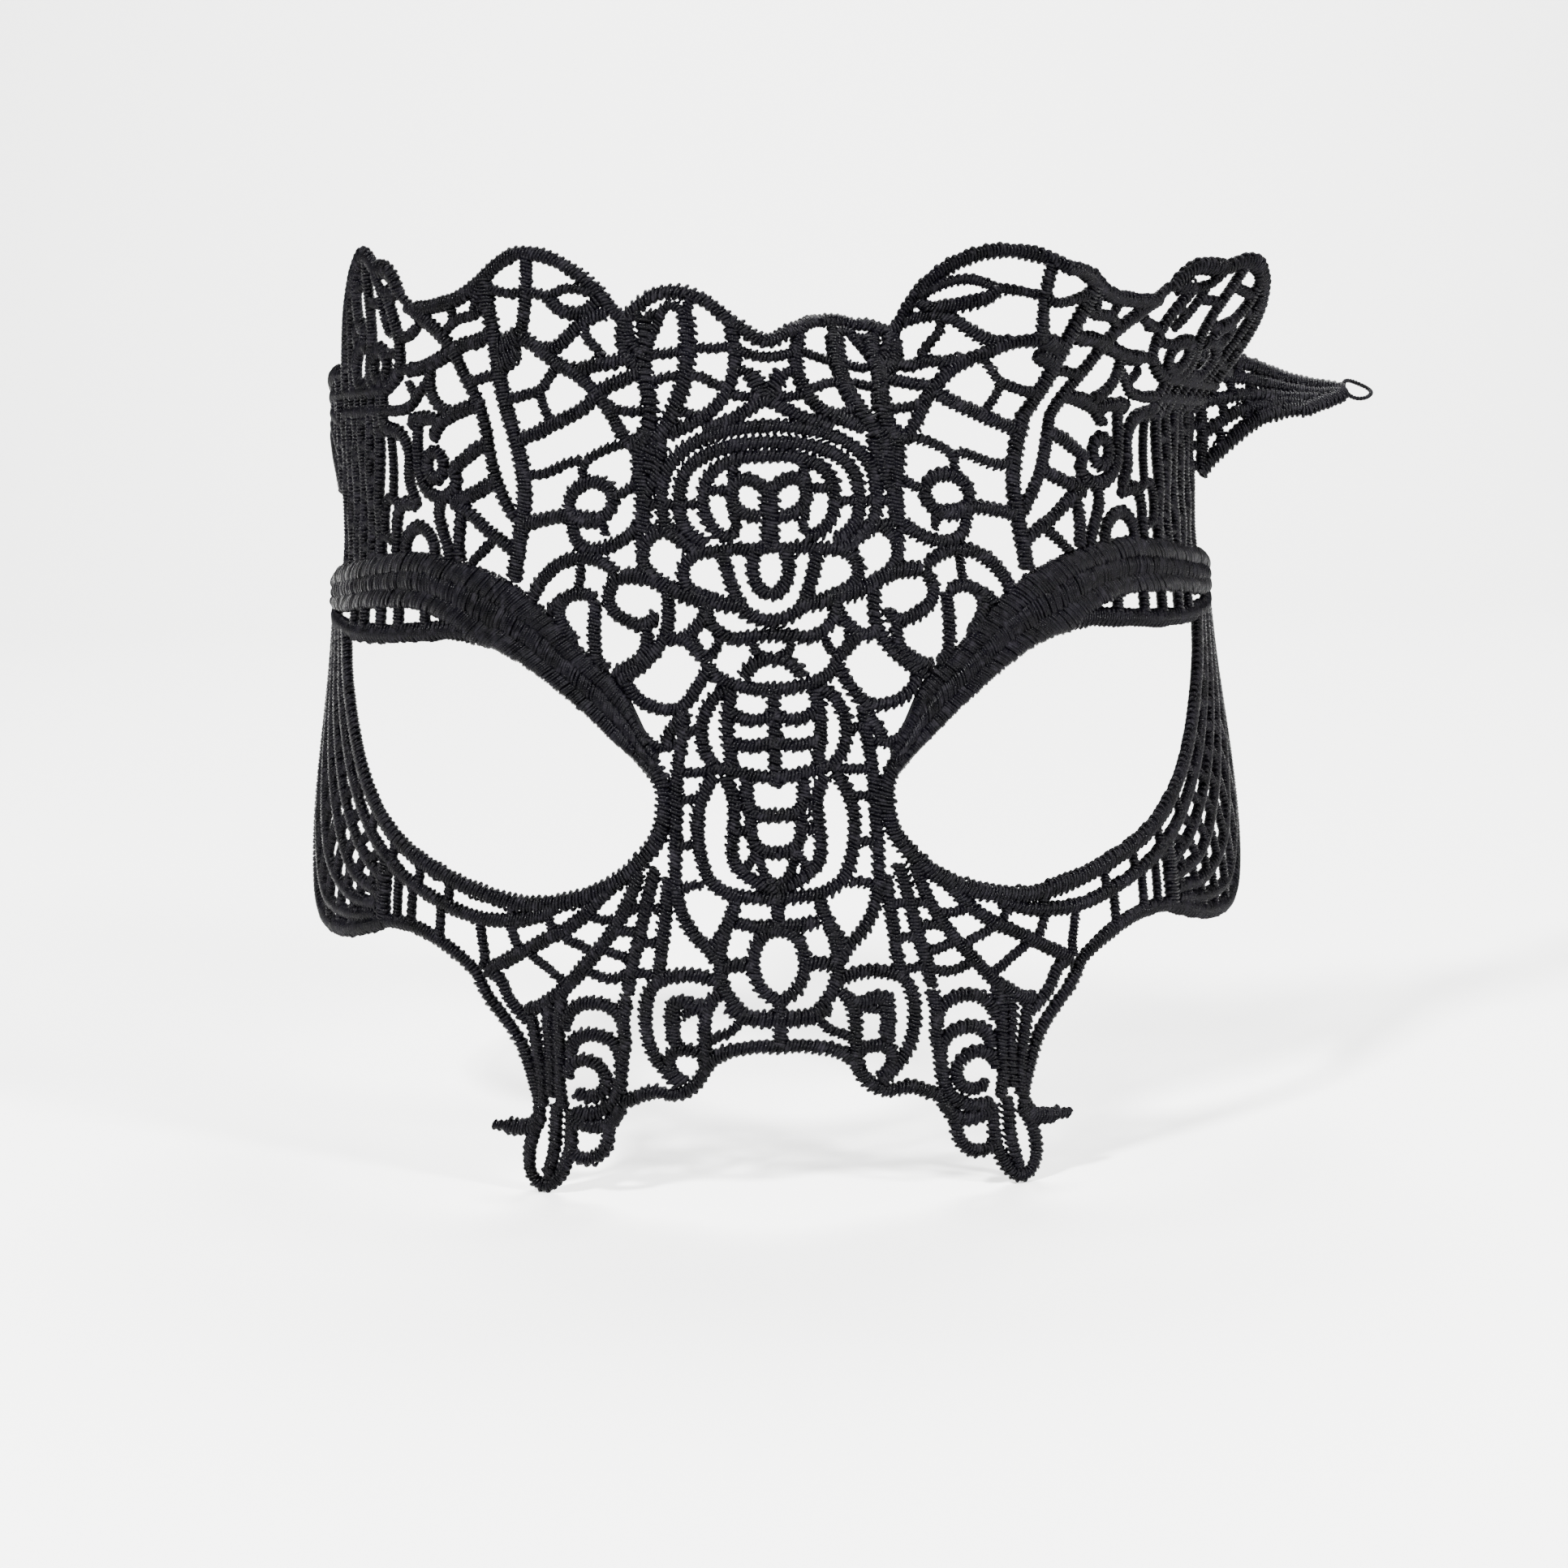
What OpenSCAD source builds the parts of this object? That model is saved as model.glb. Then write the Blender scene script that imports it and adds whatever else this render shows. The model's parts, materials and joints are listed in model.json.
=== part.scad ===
// Lace half mask with cat-ear scallops, as a family of soft cords that lie on one wrapped surface.
// Millimetres, +Z up, the front faces -Y. Left and right are the wearer's own.
// Every route is a short list of [u, v] points: u runs round the face from the middle, v runs up.

/* [Cords] */
// Width of a fine bar
thin_w = 1.4; // [1:0.1:2]
// Width of a main cord
main_w = 1.9; // [1.4:0.1:2.6]
// Width of a heavy cord
heavy_w = 2.4; // [1.8:0.1:3.2]
// Width of a satin bar
bar_w = 2.7; // [2:0.1:3.4]
// Thickness of a main cord from front to back
cord_t = 1.6; // [1.2:0.1:2.4]
// Narrowest cord that is drawn as a solid; finer bars only tie the main cords together
finest_w = 1.5; // [1.2:0.1:1.8]
// Thickness of the padded brow band
brow_t = 2; // [1.4:0.1:3]

/* [Wrap] */
// Radius of the wrap at the forehead
forehead_r = 66.3; // [60:0.5:85]
// How much wider the wrap is at the cheeks
cheek_bulge = 5.7; // [0:0.1:10]
// How far the left crown scallop leans back and its ear leans out, in degrees
crown_lean_left = 42; // [0:1:50]
// How far the right crown scallop leans back, in degrees
crown_lean_right = 8; // [0:1:50]

/* [Wings] */
// How far the left wing flares out at rest, in degrees
wing_flare_left = 44; // [0:1:70]
// How far the left wing twists towards its tip, in degrees
wing_twist_left = 50; // [0:1:60]
// Bore of the thread loop at the wing tip
loop_bore = 4; // [3:0.5:6]

/* [Hidden] */

LEFT = 1;                 // the wearer's left, at +X
RIGHT = -1;
arc_r = 70;               // radius at which u is measured
cheek_v = -66;            // height of the widest part
cheek_span = 32;          // how fast the bulge fades above and below
seat_v = -45;             // height of the nose bridge, where the origin lies
seat_y = wrap_r(seat_v) - cord_t / 2;
lean_v = 2;               // the crown leans back above this height
left_lean = [             // share of the left lean at places round from the middle: back, then out
    [0, 0.2], [4, 0.45], [9, 0.85], [15, 1], [22, 0.75], [28, 0], [36, -0.85], [50, -0.6],
    [60, -0.5], [72, -0.8], [84, -1.05]];
lean_flat_u = 6;          // the right lean is full up to here
lean_reach = 20;          // and fades over this much
lean_blend = 3;           // the cords turn with the lean over this rise
wing_fold_u = 85.2;       // place of the line that a wing folds on
wing_low_v = -14;         // a wing lies between these heights
wing_high_v = 16;
wing_mid_v = 3;           // and twists about this one
wing_length = 26;         // over which a wing takes up its twist
wing_curl = 0.42;         // degrees that the right wing turns in for each millimetre
loop_w = 0.9;             // width of the thread in a tie loop
overrun = 0.4;            // each cord runs on past its last point by this much
layers = 4;               // cords in a piece take turns at this many thicknesses
layer_step = 0.07;        // and each is thicker than the last by this share
black = "#17151b";

function wrap_r(v) = forehead_r + cheek_bulge * exp(-pow((v - cheek_v) / cheek_span, 2));
function smooth(t) = let (c = max(0, min(1, t))) c * c * (3 - 2 * c);
function lean(u, side) = side == RIGHT || u < 0
    ? crown_lean_right * exp(-pow(max(0, abs(u) - lean_flat_u) / lean_reach, 2))
    : crown_lean_left * lookup(u, left_lean);

// A point on the face of the wrap, given its place [u, v] and its height above the surface.
function on_face(u, v, h, side) =
    let (a = u / arc_r * 180 / PI,
         rise = max(0, v - lean_v),
         tilt = lean(u, side),
         turn = tilt * smooth(rise / lean_blend),
         r = wrap_r(v) + h * cos(turn) - rise * sin(tilt),
         z = v - rise * (1 - cos(tilt)) + h * sin(turn))
    [side * r * sin(a), seat_y - r * cos(a), z - seat_v];

// A point on a wing, which turns out from the fold line and twists towards its tip.
function on_wing(u, v, h, side) =
    let (w = u - wing_fold_u,
         a = wing_fold_u / arc_r * 180 / PI,
         flare = side == LEFT ? wing_flare_left : 0,
         curl = side == LEFT ? 0 : wing_curl * w,
         dir = a - flare + curl,
         twist = (side == LEFT ? wing_twist_left : 0) * smooth(w / wing_length),
         up = v - wing_mid_v,
         r = wrap_r(0),
         x = r * sin(a) + w * cos(dir) + (h * cos(twist) - up * sin(twist)) * sin(dir),
         y = -r * cos(a) + w * sin(dir) - (h * cos(twist) - up * sin(twist)) * cos(dir),
         z = wing_mid_v + up * cos(twist) + h * sin(twist))
    [side * x, seat_y + y, z - seat_v];

function place(p, h, side) = p.x > wing_fold_u && p.y > wing_low_v && p.y < wing_high_v
    ? on_wing(p.x, p.y, h, side) : on_face(p.x, p.y, h, side);

function unit(v) = v / norm(v);

// A route with both ends run on a little, so that crossing cords are joined and not just touching.
function run_on(route) =
    let (n = len(route),
         a = route[0] - unit(route[1] - route[0]) * overrun,
         b = route[n - 1] + unit(route[n - 1] - route[n - 2]) * overrun)
    [for (i = [0:n - 1]) i == 0 ? a : i == n - 1 ? b : route[i]];

// Four corners of a cord at point i of its route: left and right of it, front and back.
function ring(route, i, w, t, side) =
    let (n = len(route),
         run = unit(route[min(i + 1, n - 1)] - route[max(i - 1, 0)]),
         across = [-run.y, run.x] * w / 2,
         a = route[i] + across,
         b = route[i] - across)
    [place(a, t / 2, side), place(b, t / 2, side), place(b, -t / 2, side), place(a, -t / 2, side)];

// A closed strip through a list of four-cornered rings.
module strip(rings, side) {
    n = len(rings);
    points = [for (r = rings, p = r) p];
    walls = [for (i = [0:n - 2], k = [0:3])
        let (m = (k + 1) % 4) each [
            [4 * i + k, 4 * i + m, 4 * i + 4 + m],
            [4 * i + k, 4 * i + 4 + m, 4 * i + 4 + k]]];
    ends = [[0, 3, 2], [0, 2, 1], [4 * n - 4, 4 * n - 3, 4 * n - 2], [4 * n - 4, 4 * n - 2, 4 * n - 1]];
    faces = concat(walls, ends);
    polyhedron(points, side == RIGHT ? faces : [for (f = faces) [f[0], f[2], f[1]]]);
}

// Every second point of a long route, which is enough for a plain solid.
function thinned(route) =
    let (n = len(route))
    n < 5 ? route : [for (i = [0:n - 1]) if (i % 2 == 0 || i == n - 1) route[i]];

// One cord: a width and a route. Neighbours differ a little in thickness, so their faces never coincide.
module cord(c, side, layer) {
    route = run_on(c[1]);
    w = c[0];
    t = cord_t * (0.45 + 0.55 * w / main_w) * (1 + layer_step * (layer % layers));
    strip([for (i = [0:len(route) - 1]) ring(route, i, w, t, side)], side);
}

// The cords that are wide enough to draw.
function drawn(cords) = [for (c = cords) if (c[0] >= finest_w) c];

// All the cords of one lace piece on one side, as one solid.
module lace(all_cords, side) {
    cords = drawn(all_cords);
    color(black) resize([0, 0, 0]) union() for (i = [0:len(cords) - 1])
        cord([cords[i][0], thinned(cords[i][1])], side, i);
}

// A piece in the middle of the face: a route that starts at u = 0 runs on through its mirror image.
function bridged(route) = max([for (p = route) p.x]) < 0.2 ? route
    : route[0].x > 0 ? route
    : concat([for (i = [len(route) - 1:-1:1]) [-route[i].x, route[i].y]], route);
module centre_lace(all_cords) {
    cords = drawn(all_cords);
    color(black) resize([0, 0, 0]) union() for (i = [0:len(cords) - 1]) {
        w = cords[i][0];
        route = thinned(cords[i][1]);
        cord([w, bridged(route)], LEFT, i);
        if (route[0].x > 0) cord([w, route], RIGHT, i);
    }
}

// A point part of the way along a route, by its share of the points.
function along(route, t) =
    let (s = t * (len(route) - 1), i = min(floor(s), len(route) - 2))
    route[i] + (route[i + 1] - route[i]) * (s - i);
// Staggered bars between each two neighbouring routes.
function netting(routes, count) = [for (k = [0:len(routes) - 2], j = [0:count - 1])
    let (t = (j + 0.3 + 0.4 * (k % 2)) / count)
    [thin_w, [along(routes[k], t), along(routes[k + 1], t)]]];
// An upright cord that weaves a little, from v0 up to v1.
function column(u, v0, v1) =
    let (n = max(1, round((v1 - v0) / 4)))
    [for (i = [0:n]) let (v = v0 + (v1 - v0) * i / n) [u + 0.5 * sin(v * 60 + u * 40), v]];

// A ring of lace in two halves, which cross at their ends.
function oval(cu, cv, ru, rv, tilt) = [for (start = [0, 180])
    [main_w, [for (k = [0:6])
        let (a = start + 30 * k, x = ru * cos(a), y = rv * sin(a))
        [cu + x * cos(tilt) - y * sin(tilt), cv + x * sin(tilt) + y * cos(tilt)]]]];

crown_centre_cords = [
    [main_w, [[0, 12.4], [1.8, 13], [3.5, 14.3], [5, 15]]],
    [thin_w, [[0, 10.3], [1.6, 10.5], [3.2, 11], [4.5, 11.7]]],
    [heavy_w, [[0.4, 5.2], [1.2, 6.7], [2.2, 8.2]]],
    [thin_w, [[2.2, 8.2], [3.2, 8.6], [4.4, 8.8]]],
    [main_w, [[0, 4.8], [2, 3.9], [4, 2.7], [6.5, 1.7], [9, 1]]],
    [thin_w, [[1, 5.3], [3, 5.2], [5.4, 5.6]]]];

crown_scallop_cords = [
    [main_w, [[5, 15], [6.6, 16.4], [8.8, 17.9], [11.5, 18.9], [14, 19.1], [16.5, 18.4], [18.4, 17.1],
        [20, 15.8]]],
    [main_w, [[5, 15], [4.7, 13], [4.3, 10.5], [4.6, 8.3], [5.3, 6.4], [6.6, 4.5], [8.6, 2.8],
        [11, 1.7], [13.5, 0.6]]],
    [heavy_w, [[11.2, 15.8], [11, 13], [11.1, 10], [11.7, 7], [12.7, 4.3], [13.8, 2], [15.2, 0]]],
    [heavy_w, [[17.2, 15.6], [17, 12.5], [17.3, 9.5], [16.7, 6.5], [16.3, 3.5], [16.8, 0.5]]],
    [thin_w, [[11.2, 15.6], [12.3, 17], [14, 17.3], [15, 16], [15.7, 14.2], [16.6, 12.6]]],
    [thin_w, [[10.8, 18.4], [11.2, 15.8]]],
    [thin_w, [[15, 16.2], [16.3, 16.2], [17.2, 15.6]]],
    [main_w, [[20, 15.8], [19.6, 13.8], [18.8, 12.2], [17.4, 11]]],
    [thin_w, [[17.4, 15.4], [18.3, 16], [18.6, 17]]],
    [thin_w, [[4.5, 11.9], [7, 11.6], [9.3, 11.7], [11, 11.5]]],
    [thin_w, [[11.2, 11.4], [13, 11.2], [15, 11], [17, 11.3]]],
    [thin_w, [[5.4, 6.5], [7.3, 6.9], [9, 7.9], [11.3, 8.1]]],
    [thin_w, [[11.5, 8.1], [13.5, 8.1], [15.2, 7.7], [16.8, 7.3]]],
    [thin_w, [[8.4, 2.9], [10.4, 3], [12.7, 3.9]]]];

crown_peak_cords = [
    [main_w, [[20, 15.8], [21.8, 16.7], [23.3, 18.7], [25, 20.2], [27.5, 22], [30.5, 23.6],
        [33.5, 24.5], [36, 24.7], [38.5, 24], [41, 22.6], [43.5, 21], [46, 19.7], [48.5, 19],
        [51.5, 18.6], [54.5, 18.3], [57.5, 18.4]]],
    [main_w, [[34.8, 24.4], [35, 20], [35.4, 17], [36, 14]]],
    [thin_w, [[24.3, 18.9], [26.5, 19.6], [29, 19.8], [31.2, 19], [33.2, 19.3], [35, 19.6],
        [37.5, 19.5], [40, 19.9], [42, 20.6]]],
    [main_w, [[24, 18.3], [25.5, 16.8], [28, 16.6], [30.2, 17.4], [31.4, 18.8]]],
    [main_w, [[22.5, 16.6], [24.8, 16], [26.5, 15.3], [27.8, 14.2], [29.3, 12.9], [31.2, 12],
        [33, 12.3]]],
    [main_w, [[20.3, 15.4], [20.5, 13], [19.9, 11.2], [18.6, 9.6], [17.4, 9.4]]],
    [thin_w, [[26, 15], [25.7, 13.4], [24.5, 12.2], [23.5, 11], [24, 9.9]]],
    [main_w, [[18, 11], [20, 10.6], [22, 10], [24.2, 9.9], [26.3, 9.2], [28, 9.5]]],
    [main_w, [[17.3, 9], [19, 8.2], [21, 7.5], [23, 6.8], [24.3, 6.2]]],
    [main_w, [[24.3, 6.2], [25.6, 7.3], [27.5, 8.8], [29.8, 9.9], [31.8, 11.2], [33.8, 12.6],
        [36, 13.8]]],
    [main_w, [[24.3, 6.2], [23.2, 5], [22, 3.3], [21, 1.6], [20, 0], [19, -0.8]]],
    [thin_w, [[16.4, 3.8], [19, 3.6], [21.5, 4], [23.6, 5]]],
    [main_w, [[24.3, 5.6], [26.5, 4], [29, 2.9], [31.5, 2], [34, 1], [36.8, 0.2]]],
    [thin_w, [[30.3, 9.8], [31.6, 8.2], [33, 6.7], [35.2, 6.2], [37.2, 5.8], [39.2, 5.8]]],
    [thin_w, [[33, 6.6], [32.6, 4.8], [31.7, 3.2], [31, 2.2]]],
    [heavy_w, [[42, 21.8], [41.6, 18], [40.8, 14.5], [40.2, 11], [39.6, 7.5], [38.6, 4], [37.4, 0.5],
        [36.4, -3], [36, -7], [36.6, -11], [37.4, -15], [38, -18.5]]],
    [main_w, [[58.8, 18.8], [57.5, 18.3], [54.6, 16.8], [52, 15.3], [49.8, 13.6], [48, 11.5],
        [46.6, 9.3], [45, 7], [43.5, 4.4], [42.6, 1.5], [42, -1.5], [41, -5], [39.4, -8],
        [37.6, -10.5]]],
    [thin_w, [[42, 18.2], [44, 17], [46.3, 16.7], [48.3, 16.2], [50, 15]]],
    [main_w, [[41, 14.6], [43, 13.6], [45.3, 13.3], [47.5, 12.8], [49.5, 12], [52, 11.2], [55, 10.4],
        [58, 10.1], [59, 10.2]]],
    [thin_w, [[43.3, 20.6], [43.8, 18.8], [44.4, 17.2]]],
    [thin_w, [[49.3, 18.8], [48.6, 17.6], [48.3, 16.2]]],
    [thin_w, [[40, 8.7], [42, 8.8], [44, 8.3], [45.8, 8.2]]],
    [thin_w, [[56, 15.8], [58.5, 14.8], [59, 14.7]]],
    [bar_w, [[36.6, 14], [38.4, 12.8], [40, 12.4]]],
    [heavy_w, [[36.4, 12], [38.2, 10.8], [39.9, 10]]]];

forehead_medallion_cords = [
    [main_w, [[0, -2.5], [3, -2.6], [5.5, -3.2], [7.6, -4.3], [8.9, -6.2], [9.1, -8.5], [8.6, -10.8],
        [7, -12.6], [5, -13.2]]],
    [main_w, [[0, -0.8], [4, -1], [7.5, -1.8], [10.3, -3.2], [12, -5.2], [12.5, -8.2], [12.2, -10.8],
        [10.8, -12.7], [8.8, -13.8]]],
    [main_w, [[0, 1.3], [3.5, 1.1], [7, 0.5], [10.5, -0.8], [13.2, -2.8], [14.6, -5.2], [15, -8.4],
        [14.6, -11], [13, -12.9], [11, -14.2]]],
    [main_w, [[0, -6.9], [1.4, -6.1], [3.2, -5.4], [4.7, -5.9], [5.2, -7.6], [4.6, -9.2], [3, -10.2],
        [1.2, -10.4]]],
    [thin_w, [[4.4, -3.2], [5, -4.6], [5.1, -6.2]]],
    [thin_w, [[5.2, -6.8], [8.8, -6.9]]],
    [thin_w, [[5, -9.3], [4.9, -10.6], [4.5, -11.6], [5.2, -12.9]]],
    [main_w, [[0, -14.3], [2.5, -14.7], [5, -14.4], [7, -14.8], [9.5, -14.8], [11.5, -14],
        [13.2, -12.7], [15, -11.9]]],
    [bar_w, [[0, -7], [0, -14.6]]],
    [thin_w, [[9, -8.6], [12.4, -8.6]]],
    [thin_w, [[12.6, -8.6], [15, -8.6]]],
    [thin_w, [[12.3, -11.7], [14.4, -11.7]]]];

forehead_knot_cords = [
    [heavy_w, [[17, 1], [18, -1.5], [17.9, -5], [17.6, -8], [17.9, -12]]],
    [heavy_w, [[15.2, 0.4], [16.4, -1.6], [16.6, -4.4]]],
    [heavy_w, [[16.6, 0.8], [18.4, -0.4], [19.4, -0.8]]],
    [main_w, [[14.6, -0.6], [15.2, -2.6], [16.2, -5.6], [17.4, -7.6]]],
    [thin_w, [[15, -8.6], [17.9, -8.6]]],
    [thin_w, [[14.8, -11.7], [18, -11.7]]]];

forehead_fan_cords = [
    [main_w, [[2.2, -14.6], [2.5, -16.8], [2.2, -18.8], [1.1, -20.2], [0, -20.6]]],
    [main_w, [[6.6, -14.9], [6.1, -17], [5.4, -19.2], [4.6, -21.4]]],
    [main_w, [[9.3, -14.8], [11.3, -15.6], [12.2, -17.4], [11.7, -19.2], [10, -20.4], [7.6, -21.2]]],
    [main_w, [[15.3, -12], [17.2, -13.2], [17.9, -15.2], [17.3, -17], [16, -18.3]]],
    [heavy_w, [[3.6, -22], [6.5, -21.7], [9.5, -21], [12.3, -20.3], [14.5, -19.3], [16.5, -18.2],
        [18.7, -17.8], [21, -17.9]]],
    [main_w, [[0, -24], [2, -23.7], [3.6, -22.8], [4.3, -21.9]]],
    [main_w, [[0, -25.8], [2.5, -26], [5, -26.3], [6.8, -25.6], [8.2, -24.4], [8.9, -22.8],
        [8.6, -21.4]]],
    [main_w, [[8.8, -21.5], [9.3, -23.3], [10.5, -24.8], [12, -26], [13.8, -26.2], [14.8, -25.6]]],
    [thin_w, [[7.2, -26.2], [7.7, -27.6], [8.7, -28.7]]],
    [thin_w, [[10.6, -26], [10.3, -27.4], [9.4, -28.7]]],
    [thin_w, [[2.6, -26.6], [2.3, -28], [1, -28.6]]]];

forehead_swirl_cords = concat([
    [main_w, [[14.4, -19.6], [14.2, -22], [14.3, -24.2], [15, -26.2], [16.3, -28], [18, -29.6],
        [20, -31], [21.3, -31.8]]],
    [main_w, [[21.5, -18], [22.6, -19.3], [22.9, -21], [22, -22.7], [20.2, -23.7], [18.2, -24.4],
        [16.8, -24.1], [16, -22.8]]],
    [main_w, [[17.4, -24.6], [17.2, -26], [17.4, -27.5], [18.4, -28.8], [20, -29.9], [22, -30.6]]],
    [main_w, [[24.8, -21], [25, -24], [25, -26.6], [24.5, -29], [23, -30.3]]],
    [main_w, [[25, -20.8], [26.5, -20.2], [28.5, -20.4], [30, -21.2], [30.5, -23], [29.5, -25],
        [28, -26.6]]],
    [main_w, [[21.8, -17.4], [23.8, -16], [26, -15.4], [28.6, -15.6], [31, -16.6], [33, -18.2],
        [34.5, -20], [35, -21.6]]],
    [thin_w, [[27.2, -15.8], [27.1, -17.6], [27.5, -19.4], [28, -20.3]]],
    [main_w, [[30, -21], [31.3, -22], [32, -22.6]]],
    [thin_w, [[18.3, -11.5], [18.2, -14], [17.9, -16], [17.6, -17.8]]],
    [main_w, [[18.6, -11.4], [20.1, -12.8], [22.2, -13.8], [24.6, -14.4], [26.8, -14], [28, -12.6],
        [28.3, -10.6]]],
    [thin_w, [[19, -0.5], [21.5, -0.8], [23.8, -1.6], [25.8, -2.6], [26.6, -4], [26.4, -5.4]]],
    [thin_w, [[26.8, -2.6], [29, -3], [31, -3.8], [33.2, -4.4], [35.6, -4.4]]],
    [thin_w, [[18.6, -5.6], [20.2, -6.8], [21.9, -7.4]]],
    [main_w, [[24, -10.4], [27, -10.1], [30, -9.9], [33, -10.4], [36.4, -11]]],
    [thin_w, [[23.2, -12.6], [23.6, -11.2], [24.2, -10.3]]]],
    oval(25.4, -8.1, 3.5, 2.6, -15));

bridge_ovals_cords = [
    [main_w, [[4, -31.4], [3.3, -30.2], [1.8, -29.2], [0, -28.9]]],
    [main_w, [[0, -33], [2.5, -32.8], [5, -32.3], [6.8, -31.7], [8.2, -30.6], [8.8, -29.4]]],
    [main_w, [[5.4, -33], [6.1, -35], [6.3, -37.5], [6.1, -40], [5.7, -42], [6.3, -43.6]]],
    [main_w, [[6.3, -32.8], [8.2, -34.1], [9.5, -36.6], [9.7, -39], [9, -41.4], [7.3, -43.4]]],
    [main_w, [[0, -36.4], [2.6, -37], [4.6, -36.5], [5.8, -35.6]]],
    [main_w, [[0, -39.9], [3, -40.3], [6, -39.7]]],
    [main_w, [[0, -44.3], [3, -44.1], [5.8, -43.4], [8, -43]]],
    [main_w, [[0, -32.7], [0.1, -39.2], [0, -45.6]]],
    [main_w, [[8.6, -29.8], [9.5, -31.3], [10.8, -33.3], [12, -34.8], [13.3, -35.4], [15.5, -35.3],
        [17.5, -34.6], [19, -33.6], [20.3, -31.8]]],
    [main_w, [[8.7, -29.2], [10, -28], [11.2, -26.8], [12.3, -26.1]]],
    [thin_w, [[8, -43.2], [10, -43.6], [12.6, -43.6]]]];

bridge_shield_cords = [
    [main_w, [[8, -44], [9.3, -46], [10.2, -49], [10.2, -52], [9.7, -55], [8.8, -57.5], [7.2, -59],
        [5, -59.8], [2.5, -60], [0, -60.2]]],
    [main_w, [[6.6, -44.2], [5.6, -46.5], [5.4, -49.5], [5.7, -52.5], [5.6, -55], [4.4, -56.7],
        [2.4, -58], [0, -59.3]]],
    [main_w, [[3.6, -44.6], [3.8, -47], [3.2, -48.6], [1.8, -49.3], [0, -49.3]]],
    [main_w, [[3.3, -49], [3.2, -51.5], [2.9, -53], [1.6, -54], [0, -54.2]]],
    [thin_w, [[2.3, -54.2], [1.9, -56.4], [0.9, -57.8], [0, -58.2]]],
    [thin_w, [[3.4, -48], [5.4, -48]]],
    [thin_w, [[3.2, -51.3], [5.5, -51.3]]],
    [thin_w, [[2.7, -53.8], [3.3, -55.3], [4.4, -56.4]]],
    [thin_w, [[9.4, -58.3], [11.2, -58.4], [13, -59.3]]],
    [thin_w, [[9.8, -47], [13, -47.2]]],
    [thin_w, [[10.2, -53], [13, -53.2]]]];

nose_column_cords = [
    [main_w, [[12, -35.5], [12.3, -38.5], [12.8, -42], [13.1, -46], [13.1, -50], [13.2, -54],
        [13.2, -58.5]]],
    [thin_w, [[13, -39.8], [15, -40.4], [17, -39.6], [18.3, -38.3]]],
    [main_w, [[12.2, -35.6], [13.2, -37.4], [14.2, -38.6], [14.6, -40.2]]],
    [thin_w, [[9.7, -38.4], [12.2, -38]]]];

eye_rim_inner_cords = [
    [heavy_w, [[19.5, -40], [17, -42.2], [15.2, -44.6], [14.6, -47], [14.8, -50], [15.8, -52.7],
        [17.8, -55.2]]]];

eye_rim_lower_cords = [
    [heavy_w, [[17.8, -55.2], [20.3, -57.5], [23.5, -59.4], [27, -60.7], [31, -61.5], [35, -61.8],
        [39, -61.2], [43, -60.4], [47, -59.3], [51, -58.1], [55, -56.7], [59, -54.9]]]];

eye_rim_outer_cords = [
    [heavy_w, [[59, -54.9], [63, -52.4], [66.5, -49.7], [70, -46.5], [73, -43.3], [76, -39.8],
        [79, -36], [81.5, -32.3], [83, -28.5], [84, -26.4]]]];

under_eye_ladder_cords = [
    [main_w, [[30, -62.4], [34, -63.7], [38, -64.2], [42, -64.2], [46, -63.5], [50, -62.4],
        [54, -61.1], [58, -59.5], [62, -57.5], [65.5, -55], [69, -52], [72.5, -48.8], [75.5, -45.6],
        [78.5, -42], [81, -38.8], [83.5, -35]]],
    [main_w, [[35, -91], [34.8, -89.5], [35.2, -87], [35.7, -84.5], [36.3, -82], [37.5, -79.8],
        [39.2, -77.6], [41, -75.6], [42.2, -73.8], [43, -72], [44.8, -70.6], [47, -69.3], [50, -68],
        [54, -66.9], [58, -66.6], [62, -66.9], [66, -68], [70, -69], [74, -69.8], [78, -70.2],
        [83, -70.2], [88, -69.6]]]];

cheek_web_cords = [
    [main_w, [[13.2, -58.5], [12.7, -61], [11.9, -63.2], [10.6, -65.2], [9, -66.8], [7.9, -68.6]]],
    [main_w, [[14.2, -57.5], [14.4, -61], [14.9, -64.5], [15.3, -68], [15.8, -71]]],
    [main_w, [[15.8, -56.2], [16.6, -59], [17.3, -62], [18, -65], [18.8, -67.8], [19.5, -70.3],
        [20, -73]]],
    [main_w, [[18, -56.5], [19, -59.5], [20.3, -62.3], [22, -65], [24, -67.5], [26, -69.8], [28, -72],
        [30, -74]]],
    [main_w, [[22, -58.8], [23.8, -60.8], [26, -63], [28.8, -65], [32, -66.6], [35, -68.2],
        [38, -69.8], [41, -71.2]]],
    [main_w, [[29.5, -73.4], [31.3, -74.6], [33.3, -75.9], [35.3, -76.2]]],
    [thin_w, [[14.5, -61.6], [17, -61.4], [19.6, -61.6]]],
    [thin_w, [[20.6, -63], [23.2, -63.2], [25.6, -62.6]]],
    [thin_w, [[15, -66.2], [16.8, -66], [18.3, -66.3]]],
    [thin_w, [[18, -64.8], [20, -64.6], [21.7, -64.8]]],
    [thin_w, [[19, -68.2], [21, -67.9], [23.6, -67]]],
    [thin_w, [[24.5, -68], [26, -66.9], [27.5, -66.4], [29.3, -65.4]]],
    [thin_w, [[15.8, -70.6], [17.5, -70.3], [19.4, -70.1], [21, -70.9], [23, -71.1], [26.2, -70]]],
    [thin_w, [[28.3, -72], [30, -71.3], [31.2, -70.3], [32.6, -69.4], [34.5, -68.1]]],
    [thin_w, [[31, -62.6], [30.8, -64], [29.8, -65.4]]],
    [thin_w, [[37, -64.3], [36.3, -66.5], [35.5, -68.3]]],
    [thin_w, [[42, -64.6], [41.7, -67], [41.4, -69.5], [41.8, -71.2]]]];

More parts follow.
